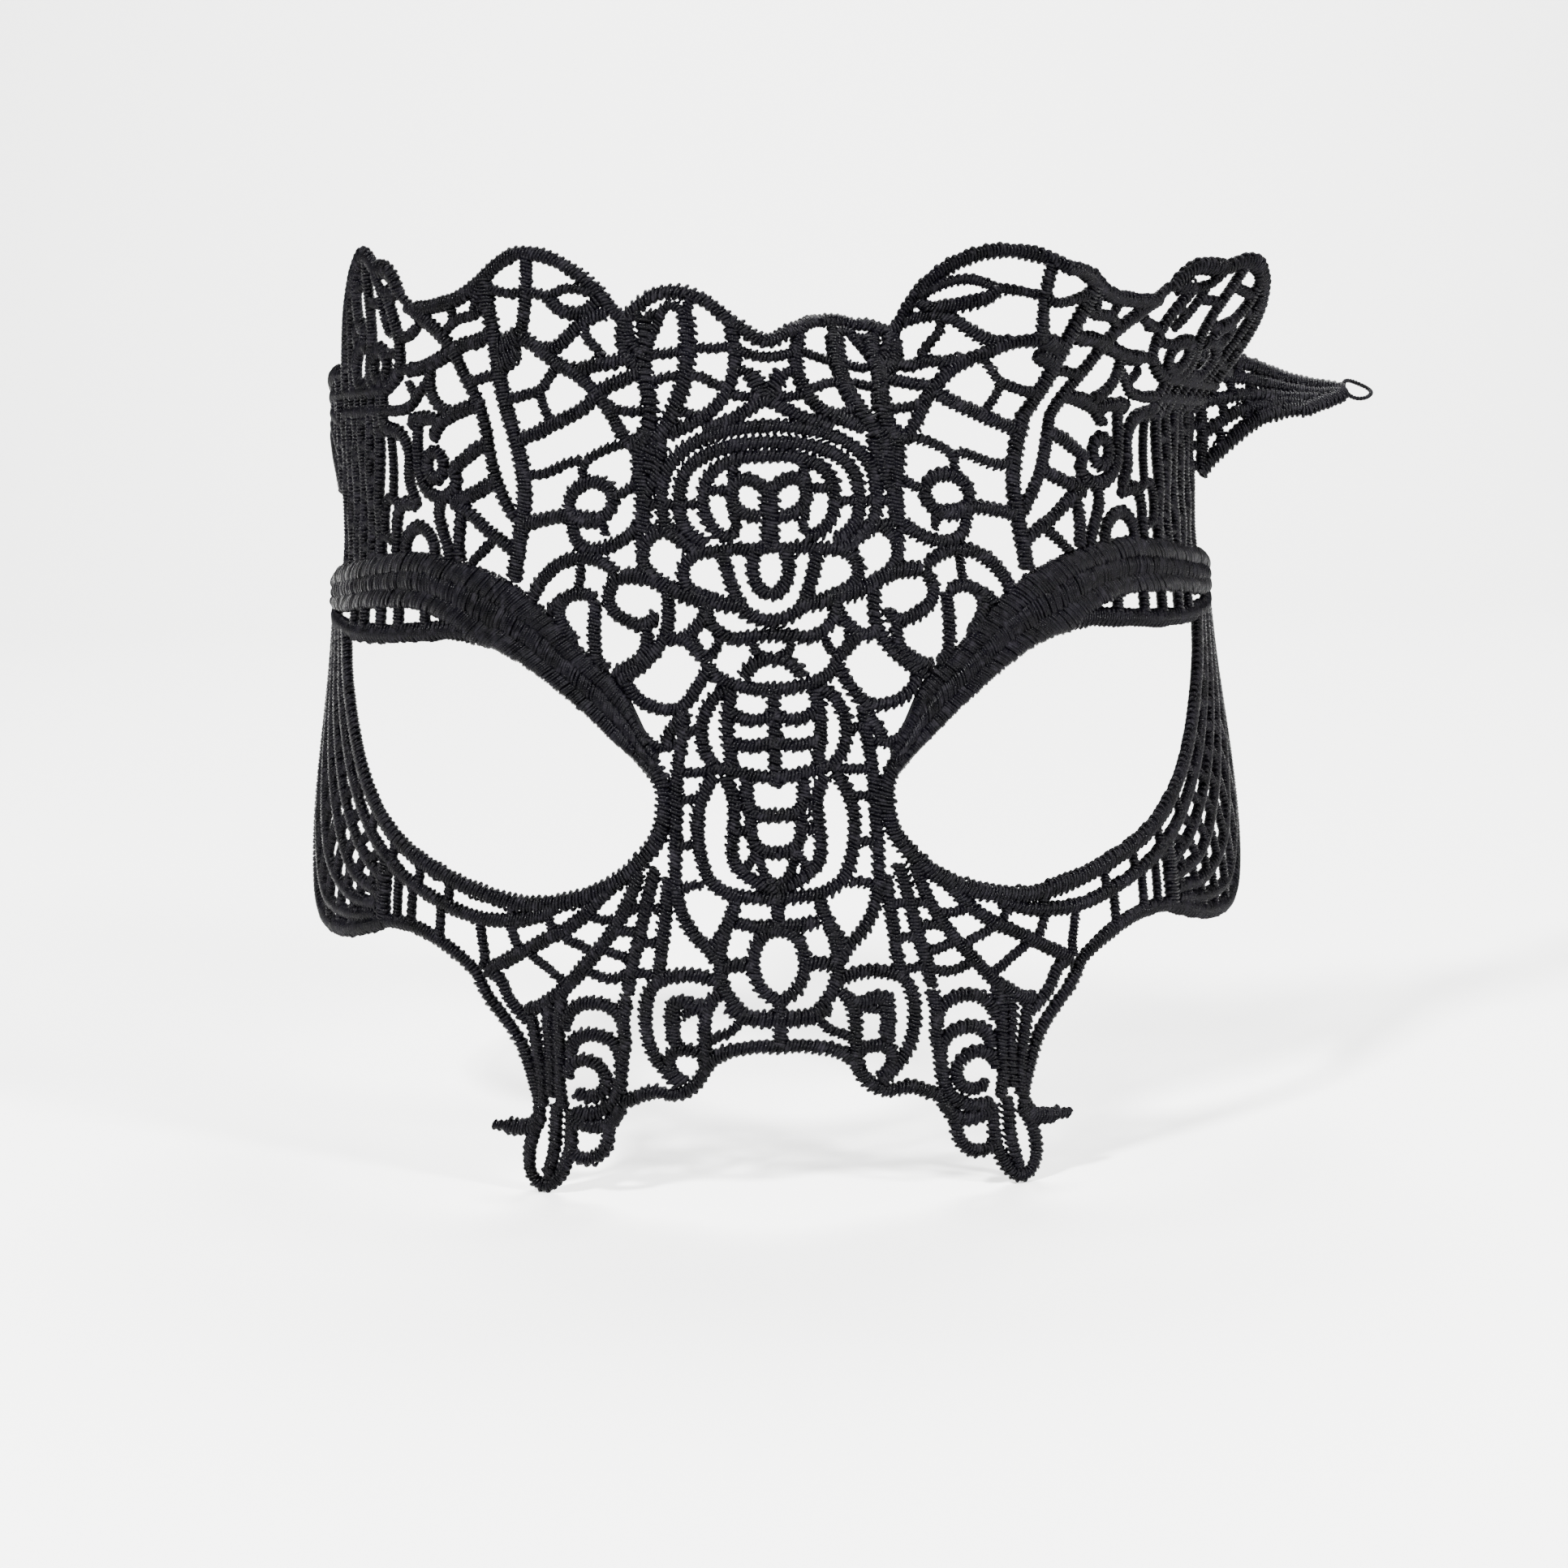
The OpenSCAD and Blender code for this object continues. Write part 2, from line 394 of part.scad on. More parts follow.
nose_drop_cords = [
    [main_w, [[0, -60], [0, -64]]],
    [main_w, [[0, -63.8], [3, -63.8], [5.3, -63.3]]],
    [main_w, [[0, -64.3], [2.3, -65.3], [3.3, -68], [3.1, -70.7], [1.9, -72.8], [0, -74]]],
    [main_w, [[5.5, -60.3], [5.7, -61.8], [6.6, -63.8], [7.4, -66.5], [7.6, -69.5], [7.2, -72],
        [6, -74.2], [4.6, -75.8]]],
    [main_w, [[3.3, -69], [5, -68.9], [7.4, -69.3]]],
    [main_w, [[6.8, -64.2], [8, -66], [8.6, -67.2]]]];

nose_arch_cords = [
    [heavy_w, [[0, -76.4], [2.5, -76.4], [4.8, -75.9], [6.5, -74.6]]],
    [main_w, [[0, -74], [0, -80.3]]],
    [thin_w, [[4.9, -76.2], [5.9, -77.6], [7.2, -78.5], [8.6, -78.9], [9.8, -80]]],
    [main_w, [[0, -80.3], [2.5, -80.2], [5, -80.5], [7.3, -81], [9, -82], [10.3, -83.8], [11.5, -85.6],
        [13.2, -86.8], [15, -87.2], [17, -86.8], [18.8, -87.2], [20.3, -88], [21.8, -88.4]]]];

nostril_scroll_cords = [
    [main_w, [[7.6, -71.4], [9.5, -70.6], [12, -70.3], [14.5, -70.7], [16.5, -71.8], [17.6, -74.5],
        [17.8, -77.5], [17.4, -80.3], [16.4, -82.5], [15, -84.3], [13.6, -85.8]]],
    [main_w, [[7.8, -72.8], [9.2, -74.3], [9.8, -76.5], [9.9, -79], [10, -81.5], [10.3, -83.6]]],
    [main_w, [[8.8, -74], [10.5, -74.6], [12.5, -73.9], [14.5, -74.4]]],
    [heavy_w, [[13.8, -74.2], [14.2, -77], [14, -80]]],
    [thin_w, [[10, -75.4], [11.5, -75.2], [12.8, -76]]],
    [main_w, [[10, -81.2], [12, -80.7], [14, -80.8], [15, -82.3], [14.6, -84], [13, -85.4]]]];

cheek_rosette_cords = [
    [main_w, [[20.1, -73.5], [20.8, -76.5], [20.9, -80], [21.6, -83], [22, -86], [23, -88.2],
        [24.8, -89.8], [27, -90.6], [29.5, -90.4]]],
    [main_w, [[20.9, -78], [21.3, -76.3], [22.8, -75], [25, -74.6], [27.3, -75.2], [28.8, -76.6],
        [29.5, -78.5]]],
    [main_w, [[21.6, -82], [22.2, -80.4], [23.5, -79.4], [25.5, -79.1], [27.3, -79.5], [28.6, -80.8],
        [29, -82.5]]],
    [main_w, [[29.8, -85.5], [29.3, -83.8], [27.5, -82.8], [25.3, -83.2], [24, -85], [24.4, -87],
        [26.5, -88.2], [28.8, -87.6]]],
    [main_w, [[22.4, -89.6], [24, -91.6], [26, -92.3], [28.3, -91.9], [29.6, -91]]],
    [main_w, [[29.3, -74], [30.3, -77], [30.5, -80], [30.8, -83.5], [31.3, -87], [31, -90]]],
    [main_w, [[31.3, -75], [32, -78], [32, -81.5], [32.3, -85], [32.8, -88.5]]],
    [main_w, [[34.5, -77], [34.2, -80], [34, -83.5], [34, -87], [34.3, -90]]],
    [main_w, [[41.3, -71.5], [39.5, -72], [38.6, -73.2], [37.9, -75], [36.3, -76.8], [34.8, -78]]]];

cheek_point_cords = [
    [main_w, [[21.8, -88.4], [22.4, -89.6], [23.2, -91], [24.3, -92.4], [24.5, -94], [25.2, -95.6],
        [26.5, -96.8], [28.3, -97.4], [30, -97], [30.8, -96]]],
    [main_w, [[24.4, -92.3], [27, -92.4], [29.8, -92]]],
    [main_w, [[29.8, -90.6], [30.2, -93.5], [30.6, -96], [31.8, -98.6], [33.2, -100.6], [35, -101.9],
        [36.8, -101.7], [37.8, -100], [37.7, -98], [37.2, -96], [36.3, -94], [35.2, -92.4],
        [34.9, -91]]],
    [main_w, [[32, -90], [32.6, -93], [33, -95.5], [33.8, -98], [35, -100.6]]]];

whisker_spur_cords = [
    [heavy_w, [[34.9, -91.6], [36.3, -93.2], [38.5, -93.8], [41, -93.9]]],
    [thin_w, [[41, -93.9], [43.5, -94.1]]]];

temple_web_cords = concat([
    [main_w, [[42.2, -0.2], [44.8, -1], [47.2, -2.4], [49.6, -3.8]]],
    [main_w, [[40.8, -5.2], [43, -6], [45.2, -6.9], [47.5, -7.5], [49.5, -8]]],
    [main_w, [[43.2, 5], [45.7, 4.7], [48.3, 4.1], [50.7, 3.2], [52.5, 2], [53.6, 0.6]]],
    [main_w, [[53.4, 10.6], [53.9, 8.6], [53.4, 6.4], [51.6, 4.8], [50, 4.2]]],
    [thin_w, [[53.6, 8.8], [55.5, 7.6], [57, 6.4], [58.6, 5.2], [61, 4.7], [63.5, 4.6], [66, 4.7]]],
    [thin_w, [[59, 8.6], [58.4, 7.6], [57, 6.4]]],
    [main_w, [[51.5, 2.8], [54, 3.4], [56.5, 3.4], [59, 3]]],
    [main_w, [[56.8, 4], [57.2, 1.5], [57.2, -1.5], [56.8, -4.5], [55, -6.6], [52, -7.4], [49.5, -6.6],
        [48.6, -4.8], [49.6, -3.6]]],
    [main_w, [[58, -8], [59.6, -5], [59.4, -2], [60.2, 0.2], [62, 1.6], [64.2, 2], [66.4, 2.6],
        [67, 4.6]]],
    [thin_w, [[64.3, -7.4], [64, -3.5], [64.3, 0], [65, 2]]],
    [main_w, [[38, -14.5], [40.5, -13], [42.8, -11.8], [45, -10.2], [47, -9], [49.3, -8.2]]],
    [main_w, [[47.6, -9], [48.2, -11.5], [48.4, -14], [48, -16]]],
    [thin_w, [[41.2, -13], [42.8, -14], [44.2, -15], [46, -16.4]]],
    [main_w, [[52, -7.6], [52.6, -9.6], [51.8, -12], [50.8, -14], [50.2, -15.8]]],
    [main_w, [[53.5, -15.6], [54, -13.4], [55.5, -12], [57.5, -11.4], [59.5, -12.2], [60.8, -13.8],
        [61, -15.4]]],
    [main_w, [[57.5, -8.6], [59.5, -8.2], [61.8, -8.4], [63.2, -10.5], [63.4, -13], [63.6, -15.6]]],
    [thin_w, [[62.6, -8.6], [64.8, -7.4], [66.5, -8.4], [67, -11], [66.6, -13]]],
    [thin_w, [[64.4, -13.6], [66.4, -13], [68.4, -13.4], [69, -15.6]]]],
    oval(53.2, -3, 1.9, 1.9, 0));

ear_cords = concat([
    [heavy_w, [[60.9, 20.4], [61.4, 21.6], [63.2, 23.6], [65.5, 24.2], [67.6, 24.4], [69.4, 25.8],
        [71.6, 26.4], [73.8, 25.4], [76, 23.4], [78, 20.8], [79.6, 17.8], [80.8, 14], [81.6, 10.6],
        [82, 7.6]]],
    [main_w, [[61.2, 20.8], [62.4, 20.9], [64, 20.6], [62.6, 17.6], [61.4, 14.8], [61, 12.4],
        [61.4, 10.2], [63, 8.8], [65.2, 7.8], [66.6, 7.6]]],
    [thin_w, [[61.6, 20], [64, 20.7], [66.2, 21.6], [67.8, 23.6]]],
    [main_w, [[70.6, 25.6], [70.2, 21.5], [69.6, 17.5], [69.6, 14], [70.6, 11], [70.6, 9.2], [69, 7.8],
        [66.6, 7.6]]],
    [thin_w, [[66.2, 21.4], [65.6, 18.6], [64.6, 16.4], [63.4, 14.8]]],
    [thin_w, [[64.6, 12.6], [66.6, 13.6], [68.6, 13], [69.8, 11]]],
    [main_w, [[74.6, 24.4], [75, 20.5], [74.2, 17.4], [72.4, 15.6]]],
    [main_w, [[71, 13.6], [73, 14], [75, 13], [76.2, 11], [75.6, 8.8], [73.4, 8.2], [71.2, 8.8]]],
    [main_w, [[77, 21.8], [77.8, 17.5], [78, 13], [78, 7.8]]],
    [main_w, [[66.6, 7.6], [70, 7.6], [74, 7.5], [78, 7.5], [82, 7.6]]],
    [thin_w, [[63, 17.6], [64.8, 16.8]]],
    [thin_w, [[65.8, 19.4], [70, 19.8]]],
    [thin_w, [[70.4, 22.4], [74.8, 22]]],
    [thin_w, [[75, 19.6], [77.4, 19.4]]],
    [thin_w, [[76, 11.6], [78, 11.6]]],
    [thin_w, [[78, 15], [80.6, 14.6]]],
    [thin_w, [[78, 11], [81.4, 10.8]]],
    [thin_w, [[61, 12.6], [64.8, 12.4]]],
    [thin_w, [[69.6, 16.4], [72.6, 16]]],
    [thin_w, [[75.4, 13.4], [75.4, 15.2]]]],
    oval(67, 10.9, 2.1, 2.1, 0),
    oval(73.8, 15.4, 1.7, 1.7, 0));

wing_cords = [
    [heavy_w, [[86.9, 10.4], [93.2, 10], [101, 9.3], [109, 8], [113, 7.2], [115.2, 6.5]]],
    [heavy_w, [[86.9, -6.6], [89.2, -4], [93.2, -1], [97.2, 1.2], [103.2, 2.2], [105.2, 2],
        [109.2, 3.5], [113.2, 5], [115.2, 6.5]]],
    [main_w, [[86.9, -6.6], [87.2, -1], [86.8, 5], [86.9, 10.4]]],
    [main_w, [[87, 7.4], [93, 7.4], [99, 7], [105, 6.4], [110, 5.8], [114, 6]]],
    [main_w, [[87, 3.6], [92, 4.4], [98, 4.8], [104, 4.6], [109, 4.6]]],
    [main_w, [[87.2, -1], [90, 0.6], [94, 2.4], [99, 3.2], [104, 3.4], [106.4, 2.6]]],
    [thin_w, [[90, 10.2], [90.4, 7.4]]],
    [thin_w, [[94.6, 9.9], [94.4, 7.4]]],
    [thin_w, [[99, 9.5], [99.4, 7]]],
    [thin_w, [[103.4, 9], [103.2, 6.6]]],
    [thin_w, [[107.4, 8.3], [107.8, 6]]],
    [thin_w, [[89.4, 7.4], [89, 4]]],
    [thin_w, [[92.4, 7.4], [93, 4.5]]],
    [thin_w, [[96.6, 7.2], [96.4, 4.7]]],
    [thin_w, [[101.4, 6.7], [101, 4.7]]],
    [thin_w, [[105.6, 6.3], [106, 4.6]]],
    [thin_w, [[90.8, 4.2], [91, 1.1]]],
    [thin_w, [[95.4, 4.7], [95.6, 2.7]]],
    [thin_w, [[100.4, 4.7], [100.2, 3.2]]],
    [thin_w, [[90, 0.4], [90.4, -3]]],
    [thin_w, [[94.8, 2.5], [95, 0]]],
    [thin_w, [[99.4, 3.2], [99.8, 1.6]]]];

// The padded brow band lies between these two routes, from beside the nose to the side of the head.
brow_top = [
    [15.8, -41], [18, -38], [20, -34], [22, -31.5], [25, -29.2], [28, -26.8], [31, -24], [34, -21.8],
    [38, -19.3], [42, -17.8], [46, -16.7], [50, -15.9], [55, -15.3], [60, -15.1], [65, -15.6],
    [70, -16.1], [76, -16.8], [82, -17.4], [88, -18], [95, -19.2], [102, -20.6]];
brow_bottom = [
    [16, -44.5], [18.5, -42], [21.5, -39.6], [25, -36.7], [29, -33.8], [33, -31.2], [37, -29.1],
    [41, -27.6], [45, -26.9], [49, -25], [52, -23.7], [56, -22.8], [60, -22.5], [66, -22.7],
    [72, -23], [78, -23.6], [84, -24.2], [88, -24.4], [95, -24.5], [102, -24.3]];
brow_ribs = 34;

brow_ladder_cords = concat([
    [heavy_w, [[45, -25.8], [50, -25.5], [55, -25.9], [60, -26.2], [65, -26.6], [70, -26.8], [75, -26.9],
        [80, -26.8], [85, -26.6], [91, -26.3], [96, -26], [101.6, -25.6]]]],
    [for (u = [55.8, 62.7, 68.2, 74.3, 78.8]) [main_w, [[u, -22.4], [u, -26.2]]]]);

// Rungs between the lower rim of the eye, the second rim and the lower edge.
rim_rungs = [
    [[30.2, -61.4], [30.4, -62.6]], [[36.4, -61.6], [36.8, -64]], [[47.3, -59.2], [47.8, -63.2]],
    [[53.2, -57.4], [53.8, -61.2]], [[59.3, -54.8], [60, -58.8]], [[64.7, -51.2], [66, -54.8]],
    [[69.3, -47.2], [71, -50.4]], [[73.3, -42.9], [75, -46.2]], [[77, -38.6], [79, -41.6]],
    [[80, -34.6], [82, -37.4]], [[49, -62.6], [49.6, -68]], [[54.9, -60.8], [55.6, -66.9]],
    [[58.2, -59.4], [58.8, -66.7]]];

// The netted panel behind the eye: rows that follow the rim of the eye, out to the side hem.
panel_rows = [
    [[58, -59.5], [65.5, -55], [72.5, -48.8], [78.5, -42], [83.5, -35], [86, -28.4], [86.6, -26.4]],
    [[61.6, -61.2], [69, -57.2], [76, -50.8], [82, -43.6], [87, -36], [89.6, -29], [90.4, -26.2]],
    [[63, -63], [72, -60.6], [79, -54], [85.4, -46], [90.4, -37.6], [93.4, -30], [94.2, -26]],
    [[63.6, -64.8], [73, -64.4], [83, -60], [89, -50.6], [94, -40.4], [97, -31], [97.8, -25.8]],
    [[64, -66.2], [74, -67.4], [86, -66], [93.6, -57], [98, -44.6], [100.6, -33], [101.6, -25.4]]];
side_hem = [
    [62, -66.9], [66, -68], [70, -69], [74, -69.8], [78, -70.2], [84, -70.4], [90, -69.6], [95, -67.4],
    [98.6, -63.6], [100.8, -58], [102, -50], [102.6, -40], [102.6, -30], [102.2, -20.6]];
side_panel_cords = concat(
    [for (row = panel_rows) [main_w, row]],
    netting(panel_rows, 7),
    [[heavy_w, side_hem], [bar_w, [[61.5, -58.2], [62, -62.4], [62.5, -66.8]]]],
    [for (u = [67.5, 72, 77, 83]) [thin_w, [[u, -66.4], [u + 0.4, lookup(u, side_hem)]]]],
    [for (v = [-60, -53, -46, -39, -32]) [thin_w, [[93.6 + (v + 60) * 0.22, v], [102, v + 0.6]]]]);

// Upright cords between the brow band and the line that the ear folds on, with staggered bars.
net_u = [68.5, 71.5, 74.5, 77.5, 80.5, 83.4];
net_top_v = 4.6;
net_bars = 6;
net_columns = [for (u = net_u) column(u, lookup(u, brow_top) - 0.6, net_top_v)];
temple_netting_cords = concat(
    [for (c = net_columns) [main_w, c]],
    netting(net_columns, net_bars),
    [[main_w, [[66.4, net_top_v], [72, net_top_v], [78, net_top_v], [83.6, net_top_v]]],
     [thin_w, [[65, 2.2], [68.4, 1.4]]],
     [thin_w, [[66.8, -10], [68.6, -9.6]]]]);

module brow_band(side) {
    route_t = [for (i = [0:brow_ribs]) i / brow_ribs];
    color(black) resize([0, 0, 0]) union() strip([for (t = route_t)
        let (a = along(brow_top, t), b = along(brow_bottom, t))
        [place(a, brow_t / 2, side), place(b, brow_t / 2, side),
         place(b, -brow_t / 2, side), place(a, -brow_t / 2, side)]], side);
}

// A thread loop for tying a ribbon, in the plane of the wing tip.
module tie_loop(side) {
    r = loop_bore / 2 + loop_w / 3;
    tip = [115.2, 6.5];
    color(black) resize([0, 0, 0]) union() for (i = [0, 1])
        cord([loop_w, [for (k = [0:6])
            let (a = 180 * i + 30 * k) [tip.x + r + loop_w / 3 - r * cos(a), tip.y + r * sin(a)]]], side, i);
}

module crown_centre() centre_lace(crown_centre_cords);
module forehead_medallion() centre_lace(forehead_medallion_cords);
module forehead_fan() centre_lace(forehead_fan_cords);
module bridge_ovals() centre_lace(bridge_ovals_cords);
module bridge_shield() centre_lace(bridge_shield_cords);
module nose_drop() centre_lace(nose_drop_cords);
module nose_arch() centre_lace(nose_arch_cords);
module crown_scallop(side) lace(crown_scallop_cords, side);
module crown_peak(side) lace(crown_peak_cords, side);
module temple_web(side) lace(temple_web_cords, side);
module temple_netting(side) lace(temple_netting_cords, side);
module ear(side) lace(ear_cords, side);
module wing(side) lace(wing_cords, side);
module forehead_knot(side) lace(forehead_knot_cords, side);
module forehead_swirl(side) lace(forehead_swirl_cords, side);
module brow_ladder(side) lace(brow_ladder_cords, side);
module eye_rim_inner(side) lace(eye_rim_inner_cords, side);
module eye_rim_lower(side) lace(eye_rim_lower_cords, side);
module eye_rim_outer(side) lace(eye_rim_outer_cords, side);
module under_eye_ladder(side) lace(concat(under_eye_ladder_cords, [for (r = rim_rungs) [thin_w, r]]), side);
module side_panel(side) lace(side_panel_cords, side);
module nose_column(side) lace(nose_column_cords, side);
module cheek_web(side) lace(cheek_web_cords, side);
module nostril_scroll(side) lace(nostril_scroll_cords, side);
module cheek_rosette(side) lace(cheek_rosette_cords, side);
module cheek_point(side) lace(cheek_point_cords, side);
module whisker_spur(side) lace(whisker_spur_cords, side);

crown_centre();
forehead_medallion();
forehead_fan();
bridge_ovals();
bridge_shield();
nose_drop();
nose_arch();
crown_scallop(LEFT);  // crown_scallop_left
crown_scallop(RIGHT);  // crown_scallop_right
crown_peak(LEFT);  // crown_peak_left
crown_peak(RIGHT);  // crown_peak_right
temple_web(LEFT);  // temple_web_left
temple_web(RIGHT);  // temple_web_right
temple_netting(LEFT);  // temple_netting_left
temple_netting(RIGHT);  // temple_netting_right
ear(LEFT);  // ear_left
ear(RIGHT);  // ear_right
wing(LEFT);  // wing_left
wing(RIGHT);  // wing_right
tie_loop(LEFT);  // tie_loop_left
tie_loop(RIGHT);  // tie_loop_right
forehead_knot(LEFT);  // forehead_knot_left
forehead_knot(RIGHT);  // forehead_knot_right
forehead_swirl(LEFT);  // forehead_swirl_left
forehead_swirl(RIGHT);  // forehead_swirl_right
brow_band(LEFT);  // brow_band_left
brow_band(RIGHT);  // brow_band_right
brow_ladder(LEFT);  // brow_ladder_left
brow_ladder(RIGHT);  // brow_ladder_right
eye_rim_inner(LEFT);  // eye_rim_inner_left
eye_rim_inner(RIGHT);  // eye_rim_inner_right
eye_rim_lower(LEFT);  // eye_rim_lower_left
eye_rim_lower(RIGHT);  // eye_rim_lower_right
eye_rim_outer(LEFT);  // eye_rim_outer_left
eye_rim_outer(RIGHT);  // eye_rim_outer_right
under_eye_ladder(LEFT);  // under_eye_ladder_left
under_eye_ladder(RIGHT);  // under_eye_ladder_right
side_panel(LEFT);  // side_panel_left
side_panel(RIGHT);  // side_panel_right
nose_column(LEFT);  // nose_column_left
nose_column(RIGHT);  // nose_column_right
cheek_web(LEFT);  // cheek_web_left
cheek_web(RIGHT);  // cheek_web_right
nostril_scroll(LEFT);  // nostril_scroll_left
nostril_scroll(RIGHT);  // nostril_scroll_right
cheek_rosette(LEFT);  // cheek_rosette_left
cheek_rosette(RIGHT);  // cheek_rosette_right
cheek_point(LEFT);  // cheek_point_left
cheek_point(RIGHT);  // cheek_point_right
whisker_spur(LEFT);  // whisker_spur_left
whisker_spur(RIGHT);  // whisker_spur_right
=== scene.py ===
"""Black satin-stitched lace for a half mask with cat-ear scallops: threads, materials, light and camera.

Routes are [u, v] points in millimetres on the face of the wrap, as in the part's source: u runs round from
the middle of the face and v runs up. Everything built from them is in metres, in the row frame.
"""
import math

import bpy
import numpy as np
from mathutils import Matrix, Vector
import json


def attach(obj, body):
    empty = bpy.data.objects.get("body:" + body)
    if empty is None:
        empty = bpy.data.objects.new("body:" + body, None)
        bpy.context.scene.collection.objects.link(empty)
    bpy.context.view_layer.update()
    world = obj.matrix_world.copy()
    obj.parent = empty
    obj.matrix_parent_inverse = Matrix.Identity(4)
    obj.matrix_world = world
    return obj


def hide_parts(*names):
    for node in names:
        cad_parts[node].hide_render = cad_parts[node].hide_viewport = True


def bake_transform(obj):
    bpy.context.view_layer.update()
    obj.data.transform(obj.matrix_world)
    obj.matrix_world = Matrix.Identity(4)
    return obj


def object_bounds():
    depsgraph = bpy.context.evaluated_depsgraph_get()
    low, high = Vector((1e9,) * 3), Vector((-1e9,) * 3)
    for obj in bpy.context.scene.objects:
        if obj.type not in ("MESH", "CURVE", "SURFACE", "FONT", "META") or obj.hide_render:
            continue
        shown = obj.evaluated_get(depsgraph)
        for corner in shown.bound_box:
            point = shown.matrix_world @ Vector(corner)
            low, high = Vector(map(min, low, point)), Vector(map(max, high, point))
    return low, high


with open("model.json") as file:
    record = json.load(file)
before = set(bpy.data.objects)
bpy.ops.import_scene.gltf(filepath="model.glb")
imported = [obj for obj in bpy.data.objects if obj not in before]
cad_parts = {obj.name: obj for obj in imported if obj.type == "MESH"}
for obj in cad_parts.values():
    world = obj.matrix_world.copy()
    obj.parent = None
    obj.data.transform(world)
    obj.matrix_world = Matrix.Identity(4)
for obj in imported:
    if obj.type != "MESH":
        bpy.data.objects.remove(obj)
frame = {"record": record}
cad_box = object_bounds()
rng = np.random.default_rng(7)

MM = 0.001
LEFT, RIGHT = 1, -1                    # the wearer's own left is +X
SIDES = (("left", LEFT), ("right", RIGHT))
THIN, MAIN, HEAVY, BAR = 1.4, 1.9, 2.4, 2.7   # cord widths

# The wrap, with the same dimensions as the part's source.
FOREHEAD_R = 66.3
CHEEK_BULGE = 5.7
CHEEK_V, CHEEK_SPAN = -66.0, 32.0
ARC_R = 70.0
SEAT_V = -45.0
CORD_T = 1.6
CROWN_LEAN = {LEFT: 42.0, RIGHT: 8.0}
LEAN_V, LEAN_FLAT_U, LEAN_REACH, LEAN_BLEND = 2.0, 6.0, 20.0, 3.0
LEFT_LEAN_U = (0, 4, 9, 15, 22, 28, 36, 50, 60, 72, 84)
LEFT_LEAN = (0.2, 0.45, 0.85, 1, 0.75, 0, -0.85, -0.6, -0.5, -0.8, -1.05)
WING_FOLD_U = 85.2
WING_FLARE = {LEFT: 44.0, RIGHT: 0.0}
WING_TWIST = {LEFT: 50.0, RIGHT: 0.0}
WING_CURL = {LEFT: 0.0, RIGHT: 0.42}   # degrees a millimetre
WING_MID_V, WING_LENGTH = 3.0, 26.0
WING_TIP = (115.2, 6.5)
WING_LOW_V, WING_HIGH_V = -14.0, 16.0

# Threads.
THREAD_R = 0.27
PITCH = 0.98                           # one turn of a wrapping thread along its cord
TURN_POINTS = 12
THREAD_SIDES = 5
THREAD_SUNK = 0.9                      # how many of its own radii a thread sits inside the cord's edge
FINE_THREAD = 0.85                     # the thread on a thin bar is this much of the usual one
# Each thread starts this share of a turn round the cord, and stands out this far.
STRANDS = ((0.0, 1.2), (0.5, 0.84))
ROUTE_STEP, CORE_STEP, CORE_SIDES = 0.3, 0.9, 8
BAND_PITCH = 0.42
BAND_ROWS = ((-0.02, 0.38), (0.31, 0.71), (0.64, 1.02))  # from the band's top edge to its bottom edge
BAND_SLANTS = (0.013, -0.008, 0.012)   # how far round the band a stitch runs while it crosses its row
WIDER_BY, WIDER_TIMES = 0.2, 0.95      # stitches stand out a little past the cord they wrap


def wrap_r(v):
    return FOREHEAD_R + CHEEK_BULGE * np.exp(-(((v - CHEEK_V) / CHEEK_SPAN) ** 2))


SEAT_Y = float(wrap_r(SEAT_V)) - CORD_T / 2


def soft_step(t):
    t = np.clip(t, 0, 1)
    return t * t * (3 - 2 * t)


def lean(u, side):
    """How far the crown leans back at u, in radians; the left ear leans out instead."""
    plain = CROWN_LEAN[RIGHT] * np.exp(-((np.maximum(0, np.abs(u) - LEAN_FLAT_U) / LEAN_REACH) ** 2))
    if side == RIGHT:
        return np.radians(plain)
    return np.radians(np.where(u < 0, plain, CROWN_LEAN[LEFT] * np.interp(u, LEFT_LEAN_U, LEFT_LEAN)))


def on_face(u, v, h, side):
    """Points on the face of the wrap, h above it; the crown leans back above LEAN_V."""
    a = u / ARC_R
    rise = np.maximum(0, v - LEAN_V)
    tilt = lean(u, side)
    turn = tilt * soft_step(rise / LEAN_BLEND)
    r = wrap_r(v) + h * np.cos(turn) - rise * np.sin(tilt)
    z = v - rise * (1 - np.cos(tilt)) + h * np.sin(turn)
    return np.stack([side * r * np.sin(a), SEAT_Y - r * np.cos(a), z - SEAT_V], -1)


def on_wing(u, v, h, side):
    """Points on a wing, which turns out from the fold line and twists towards its tip."""
    w = u - WING_FOLD_U
    a = WING_FOLD_U / ARC_R
    heading = a - math.radians(WING_FLARE[side]) + np.radians(WING_CURL[side] * w)
    twist = math.radians(WING_TWIST[side]) * soft_step(w / WING_LENGTH)
    up = v - WING_MID_V
    out = h * np.cos(twist) - up * np.sin(twist)
    r = float(wrap_r(0.0))
    x = r * math.sin(a) + w * np.cos(heading) + out * np.sin(heading)
    y = -r * math.cos(a) + w * np.sin(heading) - out * np.cos(heading)
    z = WING_MID_V + up * np.cos(twist) + h * np.sin(twist)
    return np.stack([side * x, SEAT_Y + y, z - SEAT_V], -1)


def place(u, v, h, side):
    wing = (u > WING_FOLD_U) & (v > WING_LOW_V) & (v < WING_HIGH_V)
    return np.where(wing[:, None], on_wing(u, v, h, side), on_face(u, v, h, side)) * MM


def unit(a):
    return a / np.maximum(np.linalg.norm(a, axis=-1, keepdims=True), 1e-12)


